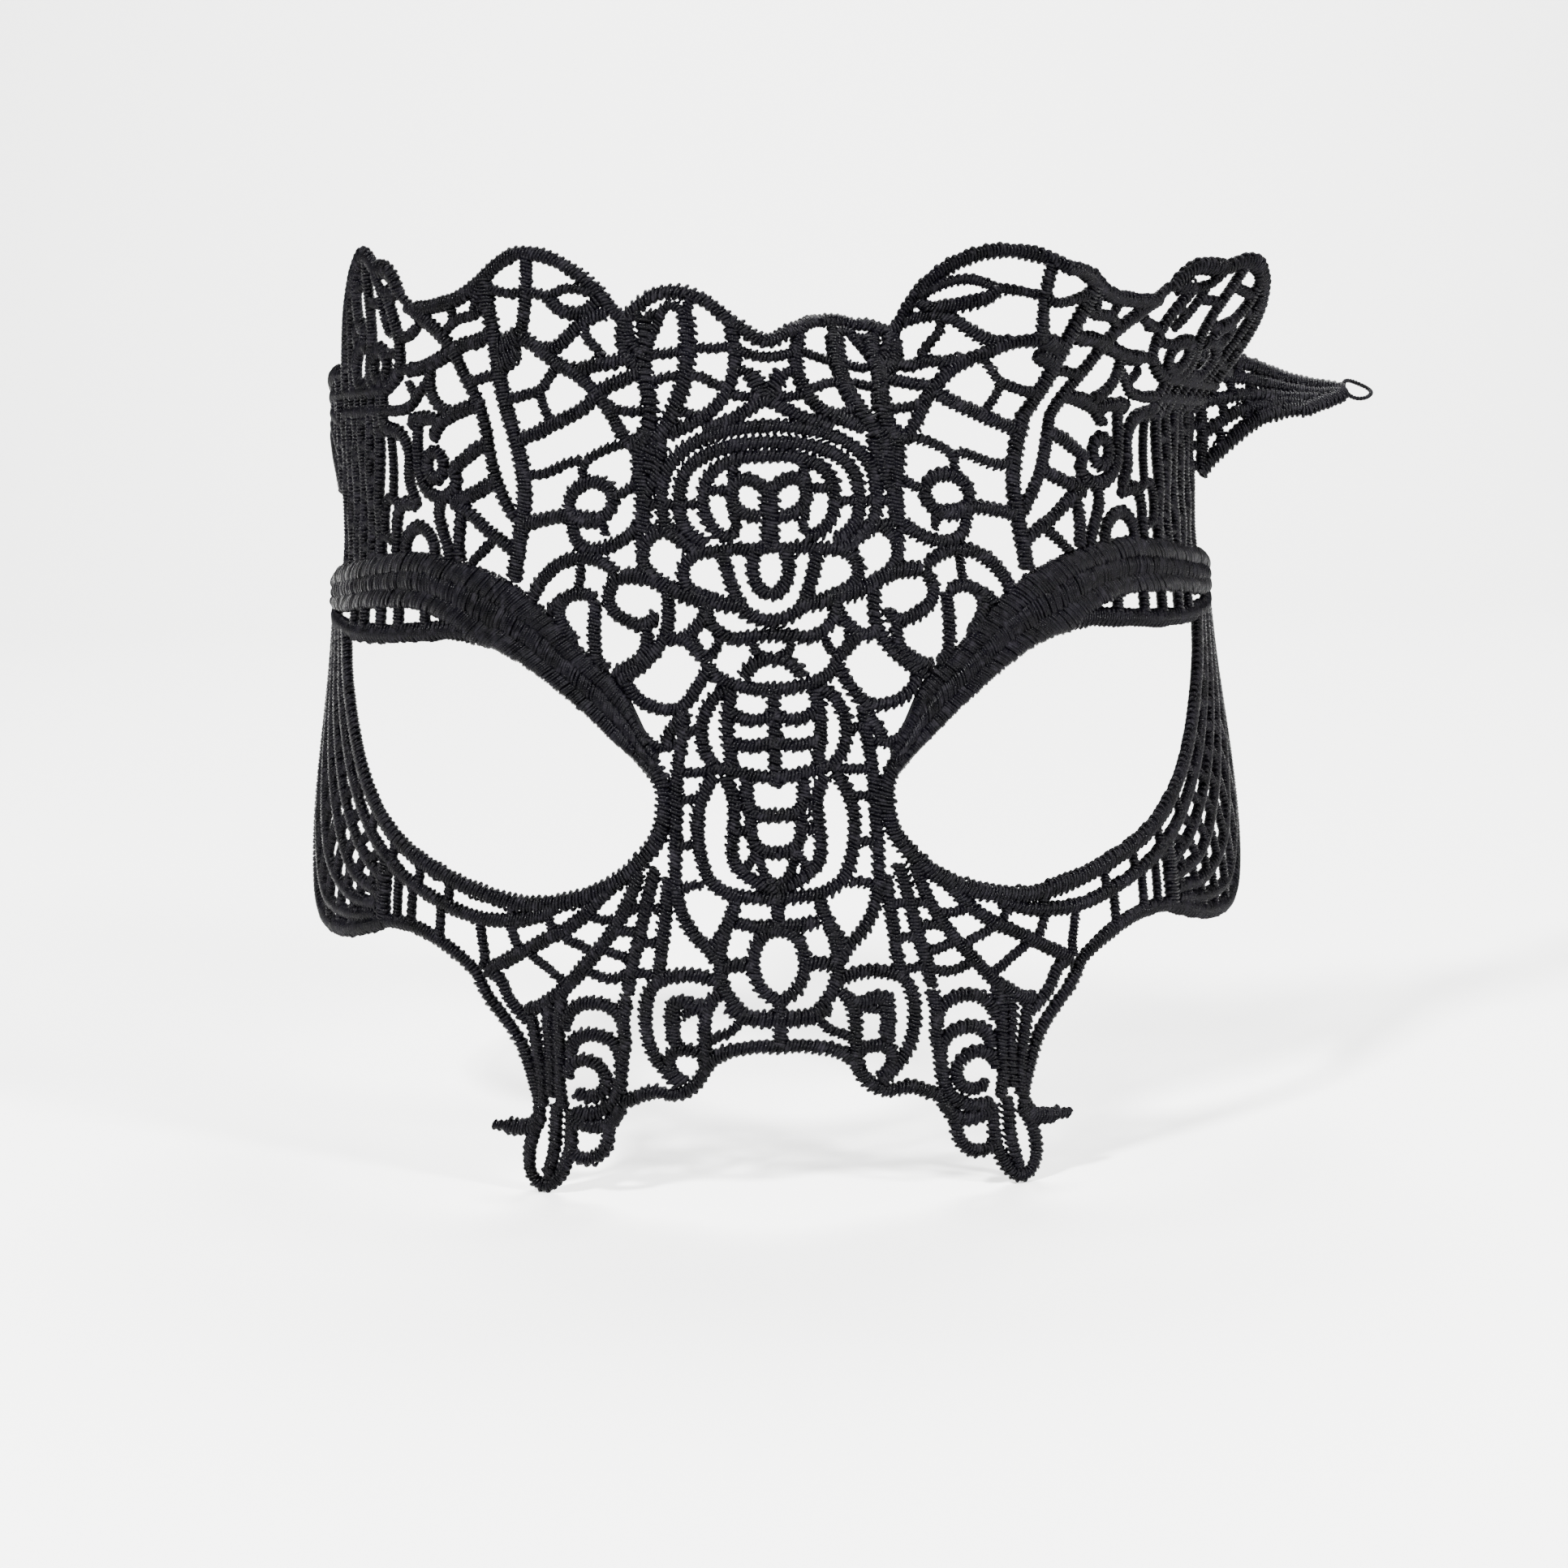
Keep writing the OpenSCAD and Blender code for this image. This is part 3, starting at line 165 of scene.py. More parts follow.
def smooth_route(points):
    """A curve through every point of a route, sampled about every ROUTE_STEP millimetres."""
    p = np.array(points, float)
    if len(p) == 2:
        n = max(2, int(np.linalg.norm(p[1] - p[0]) / ROUTE_STEP))
        t = np.linspace(0, 1, n + 1)[:, None]
        return p[0] + (p[1] - p[0]) * t
    p = np.vstack([2 * p[0] - p[1], p, 2 * p[-1] - p[-2]])
    out = []
    for i in range(1, len(p) - 2):
        n = max(2, int(np.linalg.norm(p[i + 1] - p[i]) / ROUTE_STEP))
        t = np.linspace(0, 1, n, endpoint=False)[:, None]
        a, b, c, d = p[i - 1], p[i], p[i + 1], p[i + 2]
        out.append(0.5 * (2 * b + (c - a) * t + (2 * a - 5 * b + 4 * c - d) * t**2
                          + (3 * b - a - 3 * c + d) * t**3))
    return np.vstack(out + [p[-2][None]])


class Mesh:
    """Tubes gathered into one mesh, with a UV that runs along and round each tube."""

    def __init__(self):
        self.points, self.faces, self.caps, self.uvs, self.slots = [], [], [], [], []
        self.count = 0

    def tube(self, path, across, radius, sides, slot=0, flat=1.0):
        """A closed tube along path; across is any direction that is never along it."""
        path = np.asarray(path, float)
        n = len(path)
        run = unit(np.gradient(path, axis=0))
        b = unit(np.cross(run, across))
        c = np.cross(b, run)
        ang = np.arange(sides) * 2 * math.pi / sides
        radius = np.broadcast_to(np.asarray(radius, float), (n,))
        ring = (b[:, None] * np.cos(ang)[None, :, None]
                + c[:, None] * np.sin(ang)[None, :, None] * flat)
        pts = path[:, None] + ring * radius[:, None, None]
        self.points.append(pts.reshape(-1, 3))
        i = np.arange(n - 1)[:, None] * sides
        j = np.arange(sides)[None]
        k = (j + 1) % sides
        quads = np.stack([i + j, i + k, i + sides + k, i + sides + j], -1).reshape(-1, 4) + self.count
        self.faces.append(quads)
        length = np.concatenate([[0], np.cumsum(np.linalg.norm(np.diff(path, axis=0), axis=1))]) / MM
        u0 = np.broadcast_to(length[:-1, None], (n - 1, sides))
        u1 = np.broadcast_to(length[1:, None], (n - 1, sides))
        v0 = np.broadcast_to(j / sides, (n - 1, sides))
        v1 = v0 + 1 / sides
        self.uvs.append(np.stack([u0, v0, u0, v1, u1, v1, u1, v0], -1).reshape(-1, 2))
        self.slots.append(np.full(len(quads), slot))
        for end, order in ((0, range(sides - 1, -1, -1)), ((n - 1) * sides, range(sides))):
            self.caps.append([end + q + self.count for q in order])
        self.count += n * sides

    def build(self, name, materials):
        mesh = bpy.data.meshes.new(name)
        verts = np.vstack(self.points)
        quads = np.vstack(self.faces)
        cap_loops = np.concatenate([np.array(c) for c in self.caps])
        cap_sizes = np.array([len(c) for c in self.caps])
        loops = np.concatenate([quads.reshape(-1), cap_loops])
        sizes = np.concatenate([np.full(len(quads), 4), cap_sizes])
        starts = np.concatenate([[0], np.cumsum(sizes)[:-1]])
        mesh.vertices.add(len(verts))
        mesh.vertices.foreach_set("co", verts.astype(np.float32).reshape(-1))
        mesh.loops.add(len(loops))
        mesh.loops.foreach_set("vertex_index", loops.astype(np.int32))
        mesh.polygons.add(len(sizes))
        mesh.polygons.foreach_set("loop_start", starts.astype(np.int32))
        slots = np.concatenate([np.concatenate(self.slots), np.zeros(len(self.caps), int)])
        mesh.polygons.foreach_set("material_index", slots.astype(np.int32))
        mesh.update(calc_edges=True)
        mesh.polygons.foreach_set("use_smooth", np.ones(len(sizes), bool))
        uv = mesh.uv_layers.new(name="thread")
        data = np.zeros((len(loops), 2), np.float32)
        data[: len(quads) * 4] = np.vstack(self.uvs)
        uv.data.foreach_set("uv", data.reshape(-1))
        for m in materials:
            mesh.materials.append(m)
        mesh.validate()
        obj = bpy.data.objects.new(name, mesh)
        bpy.context.scene.collection.objects.link(obj)
        return obj


def resample(path, columns, spacing):
    """Even stations along a path, with each column of data carried to them."""
    d = np.concatenate([[0], np.cumsum(np.linalg.norm(np.diff(path, axis=0), axis=1))])
    n = max(2, int(round(d[-1] / spacing)) + 1)
    s = np.linspace(0, d[-1], n)
    return [np.stack([np.interp(s, d, c[:, k]) for k in range(3)], -1) for c in columns]


def satin_cord(mesh, width, route, side):
    """A core and two threads wound round it, so the cord has a lobed edge and slanted wraps."""
    uv = smooth_route(route)
    u, v = uv[:, 0], uv[:, 1]
    centre = place(u, v, np.zeros(len(u)), side)
    normal = unit(place(u, v, np.ones(len(u)), side) - centre)
    run = unit(np.gradient(centre, axis=0))
    across = unit(np.cross(normal, run))
    thick = CORD_T * (0.5 + 0.5 * width / MAIN)
    r = THREAD_R * MM * (FINE_THREAD if width == THIN else 1.0)
    wide = WIDER_BY + WIDER_TIMES * width
    a, b = wide / 2 * MM - r * THREAD_SUNK, thick / 2 * MM - r * THREAD_SUNK
    c, n = resample(centre, (centre, normal), CORE_STEP * MM)
    core_a, core_b = a - r / 2, b - r / 2
    mesh.tube(c, n, core_a, CORE_SIDES, slot=1, flat=core_b / core_a)
    d = np.concatenate([[0], np.cumsum(np.linalg.norm(np.diff(centre, axis=0), axis=1))])
    length = d[-1]
    pitch = PITCH * MM * rng.uniform(0.94, 1.06)
    turns = max(2.0, length / pitch)
    k = int(turns * TURN_POINTS)
    slant = rng.uniform(0.7, 1.0)
    for strand, swell in STRANDS:
        t = np.linspace(0, turns, k)
        ang = 2 * math.pi * (t + strand + 0.04 * rng.normal())
        wobble = np.interp(t, np.arange(int(turns) + 2), rng.normal(1, 0.09, int(turns) + 2))
        along = np.clip(t * length / turns + pitch * 0.55 * slant * np.cos(ang), 0, length)
        pos, nn, bb = [np.stack([np.interp(along, d, q[:, i]) for i in range(3)], -1)
                       for q in (centre, normal, across)]
        # The run is read at the share of the samples passed, which is not quite the share of the length.
        passed = np.interp(along, d, np.linspace(0, length, len(d)))
        ahead = np.stack([np.interp(passed, d, run[:, i]) for i in range(3)], -1)
        path = (pos + bb * (a * swell * wobble * np.cos(ang))[:, None]
                + nn * (b * (0.97 + 0.06 * strand) * np.sin(ang))[:, None])
        mesh.tube(path, ahead, r * rng.uniform(0.95, 1.06), THREAD_SIDES)


def along_route(route, t):
    """A point part of the way along a route, by its share of the points."""
    p = np.array(route, float)
    s = np.clip(t, 0, 1) * (len(p) - 1)
    i = np.minimum(np.floor(s).astype(int), len(p) - 2)
    f = (s - i)[..., None]
    return p[i] * (1 - f) + p[i + 1] * f


def netting(rows, count):
    """Staggered bars between each two neighbouring rows."""
    bars = []
    for k in range(len(rows) - 1):
        for j in range(count):
            t = np.array((j + 0.3 + 0.4 * (k % 2)) / count)
            bars.append((THIN, [tuple(along_route(rows[k], t)), tuple(along_route(rows[k + 1], t))]))
    return bars


def column(u, v0, v1):
    n = max(1, round((v1 - v0) / 4))
    vs = [v0 + (v1 - v0) * i / n for i in range(n + 1)]
    return [(u + 0.5 * math.sin(math.radians(v * 60 + u * 40)), v) for v in vs]


def oval(cu, cv, ru, rv, tilt=0.0):
    c, s = math.cos(math.radians(tilt)), math.sin(math.radians(tilt))
    ring = [(ru * math.cos(k * math.pi / 6), rv * math.sin(k * math.pi / 6)) for k in range(13)]
    return [(cu + x * c - y * s, cv + x * s + y * c) for x, y in ring]


ROUTES = {}
ROUTES["crown_centre"] = [
    (MAIN, [(0, 12.4), (1.8, 13), (3.5, 14.3), (5, 15)]),
    (THIN, [(0, 10.3), (1.6, 10.5), (3.2, 11), (4.5, 11.7)]),
    (HEAVY, [(0.4, 5.2), (1.2, 6.7), (2.2, 8.2)]),
    (THIN, [(2.2, 8.2), (3.2, 8.6), (4.4, 8.8)]),
    (MAIN, [(0, 4.8), (2, 3.9), (4, 2.7), (6.5, 1.7), (9, 1)]),
    (THIN, [(1, 5.3), (3, 5.2), (5.4, 5.6)]),
]
ROUTES["crown_scallop"] = [
    (MAIN, [(5, 15), (6.6, 16.4), (8.8, 17.9), (11.5, 18.9), (14, 19.1), (16.5, 18.4), (18.4, 17.1),
        (20, 15.8)]),
    (MAIN, [(5, 15), (4.7, 13), (4.3, 10.5), (4.6, 8.3), (5.3, 6.4), (6.6, 4.5), (8.6, 2.8), (11, 1.7),
        (13.5, 0.6)]),
    (HEAVY, [(11.2, 15.8), (11, 13), (11.1, 10), (11.7, 7), (12.7, 4.3), (13.8, 2), (15.2, 0)]),
    (HEAVY, [(17.2, 15.6), (17, 12.5), (17.3, 9.5), (16.7, 6.5), (16.3, 3.5), (16.8, 0.5)]),
    (THIN, [(11.2, 15.6), (12.3, 17), (14, 17.3), (15, 16), (15.7, 14.2), (16.6, 12.6)]),
    (THIN, [(10.8, 18.4), (11.2, 15.8)]),
    (THIN, [(15, 16.2), (16.3, 16.2), (17.2, 15.6)]),
    (MAIN, [(20, 15.8), (19.6, 13.8), (18.8, 12.2), (17.4, 11)]),
    (THIN, [(17.4, 15.4), (18.3, 16), (18.6, 17)]),
    (THIN, [(4.5, 11.9), (7, 11.6), (9.3, 11.7), (11, 11.5)]),
    (THIN, [(11.2, 11.4), (13, 11.2), (15, 11), (17, 11.3)]),
    (THIN, [(5.4, 6.5), (7.3, 6.9), (9, 7.9), (11.3, 8.1)]),
    (THIN, [(11.5, 8.1), (13.5, 8.1), (15.2, 7.7), (16.8, 7.3)]),
    (THIN, [(8.4, 2.9), (10.4, 3), (12.7, 3.9)]),
]
ROUTES["crown_peak"] = [
    (MAIN, [(20, 15.8), (21.8, 16.7), (23.3, 18.7), (25, 20.2), (27.5, 22), (30.5, 23.6), (33.5, 24.5),
        (36, 24.7), (38.5, 24), (41, 22.6), (43.5, 21), (46, 19.7), (48.5, 19), (51.5, 18.6),
        (54.5, 18.3), (57.5, 18.4)]),
    (MAIN, [(34.8, 24.4), (35, 20), (35.4, 17), (36, 14)]),
    (THIN, [(24.3, 18.9), (26.5, 19.6), (29, 19.8), (31.2, 19), (33.2, 19.3), (35, 19.6), (37.5, 19.5),
        (40, 19.9), (42, 20.6)]),
    (MAIN, [(24, 18.3), (25.5, 16.8), (28, 16.6), (30.2, 17.4), (31.4, 18.8)]),
    (MAIN, [(22.5, 16.6), (24.8, 16), (26.5, 15.3), (27.8, 14.2), (29.3, 12.9), (31.2, 12),
        (33, 12.3)]),
    (MAIN, [(20.3, 15.4), (20.5, 13), (19.9, 11.2), (18.6, 9.6), (17.4, 9.4)]),
    (THIN, [(26, 15), (25.7, 13.4), (24.5, 12.2), (23.5, 11), (24, 9.9)]),
    (MAIN, [(18, 11), (20, 10.6), (22, 10), (24.2, 9.9), (26.3, 9.2), (28, 9.5)]),
    (MAIN, [(17.3, 9), (19, 8.2), (21, 7.5), (23, 6.8), (24.3, 6.2)]),
    (MAIN, [(24.3, 6.2), (25.6, 7.3), (27.5, 8.8), (29.8, 9.9), (31.8, 11.2), (33.8, 12.6),
        (36, 13.8)]),
    (MAIN, [(24.3, 6.2), (23.2, 5), (22, 3.3), (21, 1.6), (20, 0), (19, -0.8)]),
    (THIN, [(16.4, 3.8), (19, 3.6), (21.5, 4), (23.6, 5)]),
    (MAIN, [(24.3, 5.6), (26.5, 4), (29, 2.9), (31.5, 2), (34, 1), (36.8, 0.2)]),
    (THIN, [(30.3, 9.8), (31.6, 8.2), (33, 6.7), (35.2, 6.2), (37.2, 5.8), (39.2, 5.8)]),
    (THIN, [(33, 6.6), (32.6, 4.8), (31.7, 3.2), (31, 2.2)]),
    (HEAVY, [(42, 21.8), (41.6, 18), (40.8, 14.5), (40.2, 11), (39.6, 7.5), (38.6, 4), (37.4, 0.5),
        (36.4, -3), (36, -7), (36.6, -11), (37.4, -15), (38, -18.5)]),
    (MAIN, [(58.8, 18.8), (57.5, 18.3), (54.6, 16.8), (52, 15.3), (49.8, 13.6), (48, 11.5),
        (46.6, 9.3), (45, 7), (43.5, 4.4), (42.6, 1.5), (42, -1.5), (41, -5), (39.4, -8),
        (37.6, -10.5)]),
    (THIN, [(42, 18.2), (44, 17), (46.3, 16.7), (48.3, 16.2), (50, 15)]),
    (MAIN, [(41, 14.6), (43, 13.6), (45.3, 13.3), (47.5, 12.8), (49.5, 12), (52, 11.2), (55, 10.4),
        (58, 10.1), (59, 10.2)]),
    (THIN, [(43.3, 20.6), (43.8, 18.8), (44.4, 17.2)]),
    (THIN, [(49.3, 18.8), (48.6, 17.6), (48.3, 16.2)]),
    (THIN, [(40, 8.7), (42, 8.8), (44, 8.3), (45.8, 8.2)]),
    (THIN, [(56, 15.8), (58.5, 14.8), (59, 14.7)]),
    (BAR, [(36.6, 14), (38.4, 12.8), (40, 12.4)]),
    (HEAVY, [(36.4, 12), (38.2, 10.8), (39.9, 10)]),
]
ROUTES["forehead_medallion"] = [
    (MAIN, [(0, -2.5), (3, -2.6), (5.5, -3.2), (7.6, -4.3), (8.9, -6.2), (9.1, -8.5), (8.6, -10.8),
        (7, -12.6), (5, -13.2)]),
    (MAIN, [(0, -0.8), (4, -1), (7.5, -1.8), (10.3, -3.2), (12, -5.2), (12.5, -8.2), (12.2, -10.8),
        (10.8, -12.7), (8.8, -13.8)]),
    (MAIN, [(0, 1.3), (3.5, 1.1), (7, 0.5), (10.5, -0.8), (13.2, -2.8), (14.6, -5.2), (15, -8.4),
        (14.6, -11), (13, -12.9), (11, -14.2)]),
    (MAIN, [(0, -6.9), (1.4, -6.1), (3.2, -5.4), (4.7, -5.9), (5.2, -7.6), (4.6, -9.2), (3, -10.2),
        (1.2, -10.4)]),
    (THIN, [(4.4, -3.2), (5, -4.6), (5.1, -6.2)]),
    (THIN, [(5.2, -6.8), (8.8, -6.9)]),
    (THIN, [(5, -9.3), (4.9, -10.6), (4.5, -11.6), (5.2, -12.9)]),
    (MAIN, [(0, -14.3), (2.5, -14.7), (5, -14.4), (7, -14.8), (9.5, -14.8), (11.5, -14), (13.2, -12.7),
        (15, -11.9)]),
    (BAR, [(0, -7), (0, -14.6)]),
    (THIN, [(9, -8.6), (12.4, -8.6)]),
    (THIN, [(12.6, -8.6), (15, -8.6)]),
    (THIN, [(12.3, -11.7), (14.4, -11.7)]),
]
ROUTES["forehead_knot"] = [
    (HEAVY, [(17, 1), (18, -1.5), (17.9, -5), (17.6, -8), (17.9, -12)]),
    (HEAVY, [(15.2, 0.4), (16.4, -1.6), (16.6, -4.4)]),
    (HEAVY, [(16.6, 0.8), (18.4, -0.4), (19.4, -0.8)]),
    (MAIN, [(14.6, -0.6), (15.2, -2.6), (16.2, -5.6), (17.4, -7.6)]),
    (THIN, [(15, -8.6), (17.9, -8.6)]),
    (THIN, [(14.8, -11.7), (18, -11.7)]),
]
ROUTES["forehead_fan"] = [
    (MAIN, [(2.2, -14.6), (2.5, -16.8), (2.2, -18.8), (1.1, -20.2), (0, -20.6)]),
    (MAIN, [(6.6, -14.9), (6.1, -17), (5.4, -19.2), (4.6, -21.4)]),
    (MAIN, [(9.3, -14.8), (11.3, -15.6), (12.2, -17.4), (11.7, -19.2), (10, -20.4), (7.6, -21.2)]),
    (MAIN, [(15.3, -12), (17.2, -13.2), (17.9, -15.2), (17.3, -17), (16, -18.3)]),
    (HEAVY, [(3.6, -22), (6.5, -21.7), (9.5, -21), (12.3, -20.3), (14.5, -19.3), (16.5, -18.2),
        (18.7, -17.8), (21, -17.9)]),
    (MAIN, [(0, -24), (2, -23.7), (3.6, -22.8), (4.3, -21.9)]),
    (MAIN, [(0, -25.8), (2.5, -26), (5, -26.3), (6.8, -25.6), (8.2, -24.4), (8.9, -22.8),
        (8.6, -21.4)]),
    (MAIN, [(8.8, -21.5), (9.3, -23.3), (10.5, -24.8), (12, -26), (13.8, -26.2), (14.8, -25.6)]),
    (THIN, [(7.2, -26.2), (7.7, -27.6), (8.7, -28.7)]),
    (THIN, [(10.6, -26), (10.3, -27.4), (9.4, -28.7)]),
    (THIN, [(2.6, -26.6), (2.3, -28), (1, -28.6)]),
]
ROUTES["forehead_swirl"] = [
    (MAIN, [(14.4, -19.6), (14.2, -22), (14.3, -24.2), (15, -26.2), (16.3, -28), (18, -29.6),
        (20, -31), (21.3, -31.8)]),
    (MAIN, [(21.5, -18), (22.6, -19.3), (22.9, -21), (22, -22.7), (20.2, -23.7), (18.2, -24.4),
        (16.8, -24.1), (16, -22.8)]),
    (MAIN, [(17.4, -24.6), (17.2, -26), (17.4, -27.5), (18.4, -28.8), (20, -29.9), (22, -30.6)]),
    (MAIN, [(24.8, -21), (25, -24), (25, -26.6), (24.5, -29), (23, -30.3)]),
    (MAIN, [(25, -20.8), (26.5, -20.2), (28.5, -20.4), (30, -21.2), (30.5, -23), (29.5, -25),
        (28, -26.6)]),
    (MAIN, [(21.8, -17.4), (23.8, -16), (26, -15.4), (28.6, -15.6), (31, -16.6), (33, -18.2),
        (34.5, -20), (35, -21.6)]),
    (THIN, [(27.2, -15.8), (27.1, -17.6), (27.5, -19.4), (28, -20.3)]),
    (MAIN, [(30, -21), (31.3, -22), (32, -22.6)]),
    (THIN, [(18.3, -11.5), (18.2, -14), (17.9, -16), (17.6, -17.8)]),
    (MAIN, [(18.6, -11.4), (20.1, -12.8), (22.2, -13.8), (24.6, -14.4), (26.8, -14), (28, -12.6),
        (28.3, -10.6)]),
    (THIN, [(19, -0.5), (21.5, -0.8), (23.8, -1.6), (25.8, -2.6), (26.6, -4), (26.4, -5.4)]),
    (THIN, [(26.8, -2.6), (29, -3), (31, -3.8), (33.2, -4.4), (35.6, -4.4)]),
    (THIN, [(18.6, -5.6), (20.2, -6.8), (21.9, -7.4)]),
    (MAIN, [(24, -10.4), (27, -10.1), (30, -9.9), (33, -10.4), (36.4, -11)]),
    (THIN, [(23.2, -12.6), (23.6, -11.2), (24.2, -10.3)]),
]
ROUTES["bridge_ovals"] = [
    (MAIN, [(4, -31.4), (3.3, -30.2), (1.8, -29.2), (0, -28.9)]),
    (MAIN, [(0, -33), (2.5, -32.8), (5, -32.3), (6.8, -31.7), (8.2, -30.6), (8.8, -29.4)]),
    (MAIN, [(5.4, -33), (6.1, -35), (6.3, -37.5), (6.1, -40), (5.7, -42), (6.3, -43.6)]),
    (MAIN, [(6.3, -32.8), (8.2, -34.1), (9.5, -36.6), (9.7, -39), (9, -41.4), (7.3, -43.4)]),
    (MAIN, [(0, -36.4), (2.6, -37), (4.6, -36.5), (5.8, -35.6)]),
    (MAIN, [(0, -39.9), (3, -40.3), (6, -39.7)]),
    (MAIN, [(0, -44.3), (3, -44.1), (5.8, -43.4), (8, -43)]),
    (MAIN, [(0, -32.7), (0.1, -39.2), (0, -45.6)]),
    (MAIN, [(8.6, -29.8), (9.5, -31.3), (10.8, -33.3), (12, -34.8), (13.3, -35.4), (15.5, -35.3),
        (17.5, -34.6), (19, -33.6), (20.3, -31.8)]),
    (MAIN, [(8.7, -29.2), (10, -28), (11.2, -26.8), (12.3, -26.1)]),
    (THIN, [(8, -43.2), (10, -43.6), (12.6, -43.6)]),
]
ROUTES["bridge_shield"] = [
    (MAIN, [(8, -44), (9.3, -46), (10.2, -49), (10.2, -52), (9.7, -55), (8.8, -57.5), (7.2, -59),
        (5, -59.8), (2.5, -60), (0, -60.2)]),
    (MAIN, [(6.6, -44.2), (5.6, -46.5), (5.4, -49.5), (5.7, -52.5), (5.6, -55), (4.4, -56.7),
        (2.4, -58), (0, -59.3)]),
    (MAIN, [(3.6, -44.6), (3.8, -47), (3.2, -48.6), (1.8, -49.3), (0, -49.3)]),
    (MAIN, [(3.3, -49), (3.2, -51.5), (2.9, -53), (1.6, -54), (0, -54.2)]),
    (THIN, [(2.3, -54.2), (1.9, -56.4), (0.9, -57.8), (0, -58.2)]),
    (THIN, [(3.4, -48), (5.4, -48)]),
    (THIN, [(3.2, -51.3), (5.5, -51.3)]),
    (THIN, [(2.7, -53.8), (3.3, -55.3), (4.4, -56.4)]),
    (THIN, [(9.4, -58.3), (11.2, -58.4), (13, -59.3)]),
    (THIN, [(9.8, -47), (13, -47.2)]),
    (THIN, [(10.2, -53), (13, -53.2)]),
]
ROUTES["nose_column"] = [
    (MAIN, [(12, -35.5), (12.3, -38.5), (12.8, -42), (13.1, -46), (13.1, -50), (13.2, -54),
        (13.2, -58.5)]),
    (THIN, [(13, -39.8), (15, -40.4), (17, -39.6), (18.3, -38.3)]),
    (MAIN, [(12.2, -35.6), (13.2, -37.4), (14.2, -38.6), (14.6, -40.2)]),
    (THIN, [(9.7, -38.4), (12.2, -38)]),
]
ROUTES["eye_rim_inner"] = [
    (HEAVY, [(19.5, -40), (17, -42.2), (15.2, -44.6), (14.6, -47), (14.8, -50), (15.8, -52.7),
        (17.8, -55.2)]),
]
ROUTES["eye_rim_lower"] = [
    (HEAVY, [(17.8, -55.2), (20.3, -57.5), (23.5, -59.4), (27, -60.7), (31, -61.5), (35, -61.8),
        (39, -61.2), (43, -60.4), (47, -59.3), (51, -58.1), (55, -56.7), (59, -54.9)]),
]
ROUTES["eye_rim_outer"] = [
    (HEAVY, [(59, -54.9), (63, -52.4), (66.5, -49.7), (70, -46.5), (73, -43.3), (76, -39.8), (79, -36),
        (81.5, -32.3), (83, -28.5), (84, -26.4)]),
]
ROUTES["under_eye_ladder"] = [
    (MAIN, [(30, -62.4), (34, -63.7), (38, -64.2), (42, -64.2), (46, -63.5), (50, -62.4), (54, -61.1),
        (58, -59.5), (62, -57.5), (65.5, -55), (69, -52), (72.5, -48.8), (75.5, -45.6), (78.5, -42),
        (81, -38.8), (83.5, -35)]),
    (MAIN, [(35, -91), (34.8, -89.5), (35.2, -87), (35.7, -84.5), (36.3, -82), (37.5, -79.8),
        (39.2, -77.6), (41, -75.6), (42.2, -73.8), (43, -72), (44.8, -70.6), (47, -69.3), (50, -68),
        (54, -66.9), (58, -66.6), (62, -66.9), (66, -68), (70, -69), (74, -69.8), (78, -70.2),
        (83, -70.2), (88, -69.6)]),
]
ROUTES["cheek_web"] = [
    (MAIN, [(13.2, -58.5), (12.7, -61), (11.9, -63.2), (10.6, -65.2), (9, -66.8), (7.9, -68.6)]),
    (MAIN, [(14.2, -57.5), (14.4, -61), (14.9, -64.5), (15.3, -68), (15.8, -71)]),
    (MAIN, [(15.8, -56.2), (16.6, -59), (17.3, -62), (18, -65), (18.8, -67.8), (19.5, -70.3),
        (20, -73)]),
    (MAIN, [(18, -56.5), (19, -59.5), (20.3, -62.3), (22, -65), (24, -67.5), (26, -69.8), (28, -72),
        (30, -74)]),
    (MAIN, [(22, -58.8), (23.8, -60.8), (26, -63), (28.8, -65), (32, -66.6), (35, -68.2), (38, -69.8),
        (41, -71.2)]),
    (MAIN, [(29.5, -73.4), (31.3, -74.6), (33.3, -75.9), (35.3, -76.2)]),
    (THIN, [(14.5, -61.6), (17, -61.4), (19.6, -61.6)]),
    (THIN, [(20.6, -63), (23.2, -63.2), (25.6, -62.6)]),
    (THIN, [(15, -66.2), (16.8, -66), (18.3, -66.3)]),
    (THIN, [(18, -64.8), (20, -64.6), (21.7, -64.8)]),
    (THIN, [(19, -68.2), (21, -67.9), (23.6, -67)]),
    (THIN, [(24.5, -68), (26, -66.9), (27.5, -66.4), (29.3, -65.4)]),
    (THIN, [(15.8, -70.6), (17.5, -70.3), (19.4, -70.1), (21, -70.9), (23, -71.1), (26.2, -70)]),
    (THIN, [(28.3, -72), (30, -71.3), (31.2, -70.3), (32.6, -69.4), (34.5, -68.1)]),
    (THIN, [(31, -62.6), (30.8, -64), (29.8, -65.4)]),
    (THIN, [(37, -64.3), (36.3, -66.5), (35.5, -68.3)]),
    (THIN, [(42, -64.6), (41.7, -67), (41.4, -69.5), (41.8, -71.2)]),
]
ROUTES["nose_drop"] = [
    (MAIN, [(0, -60), (0, -64)]),
    (MAIN, [(0, -63.8), (3, -63.8), (5.3, -63.3)]),
    (MAIN, [(0, -64.3), (2.3, -65.3), (3.3, -68), (3.1, -70.7), (1.9, -72.8), (0, -74)]),
    (MAIN, [(5.5, -60.3), (5.7, -61.8), (6.6, -63.8), (7.4, -66.5), (7.6, -69.5), (7.2, -72),
        (6, -74.2), (4.6, -75.8)]),
    (MAIN, [(3.3, -69), (5, -68.9), (7.4, -69.3)]),
    (MAIN, [(6.8, -64.2), (8, -66), (8.6, -67.2)]),
]
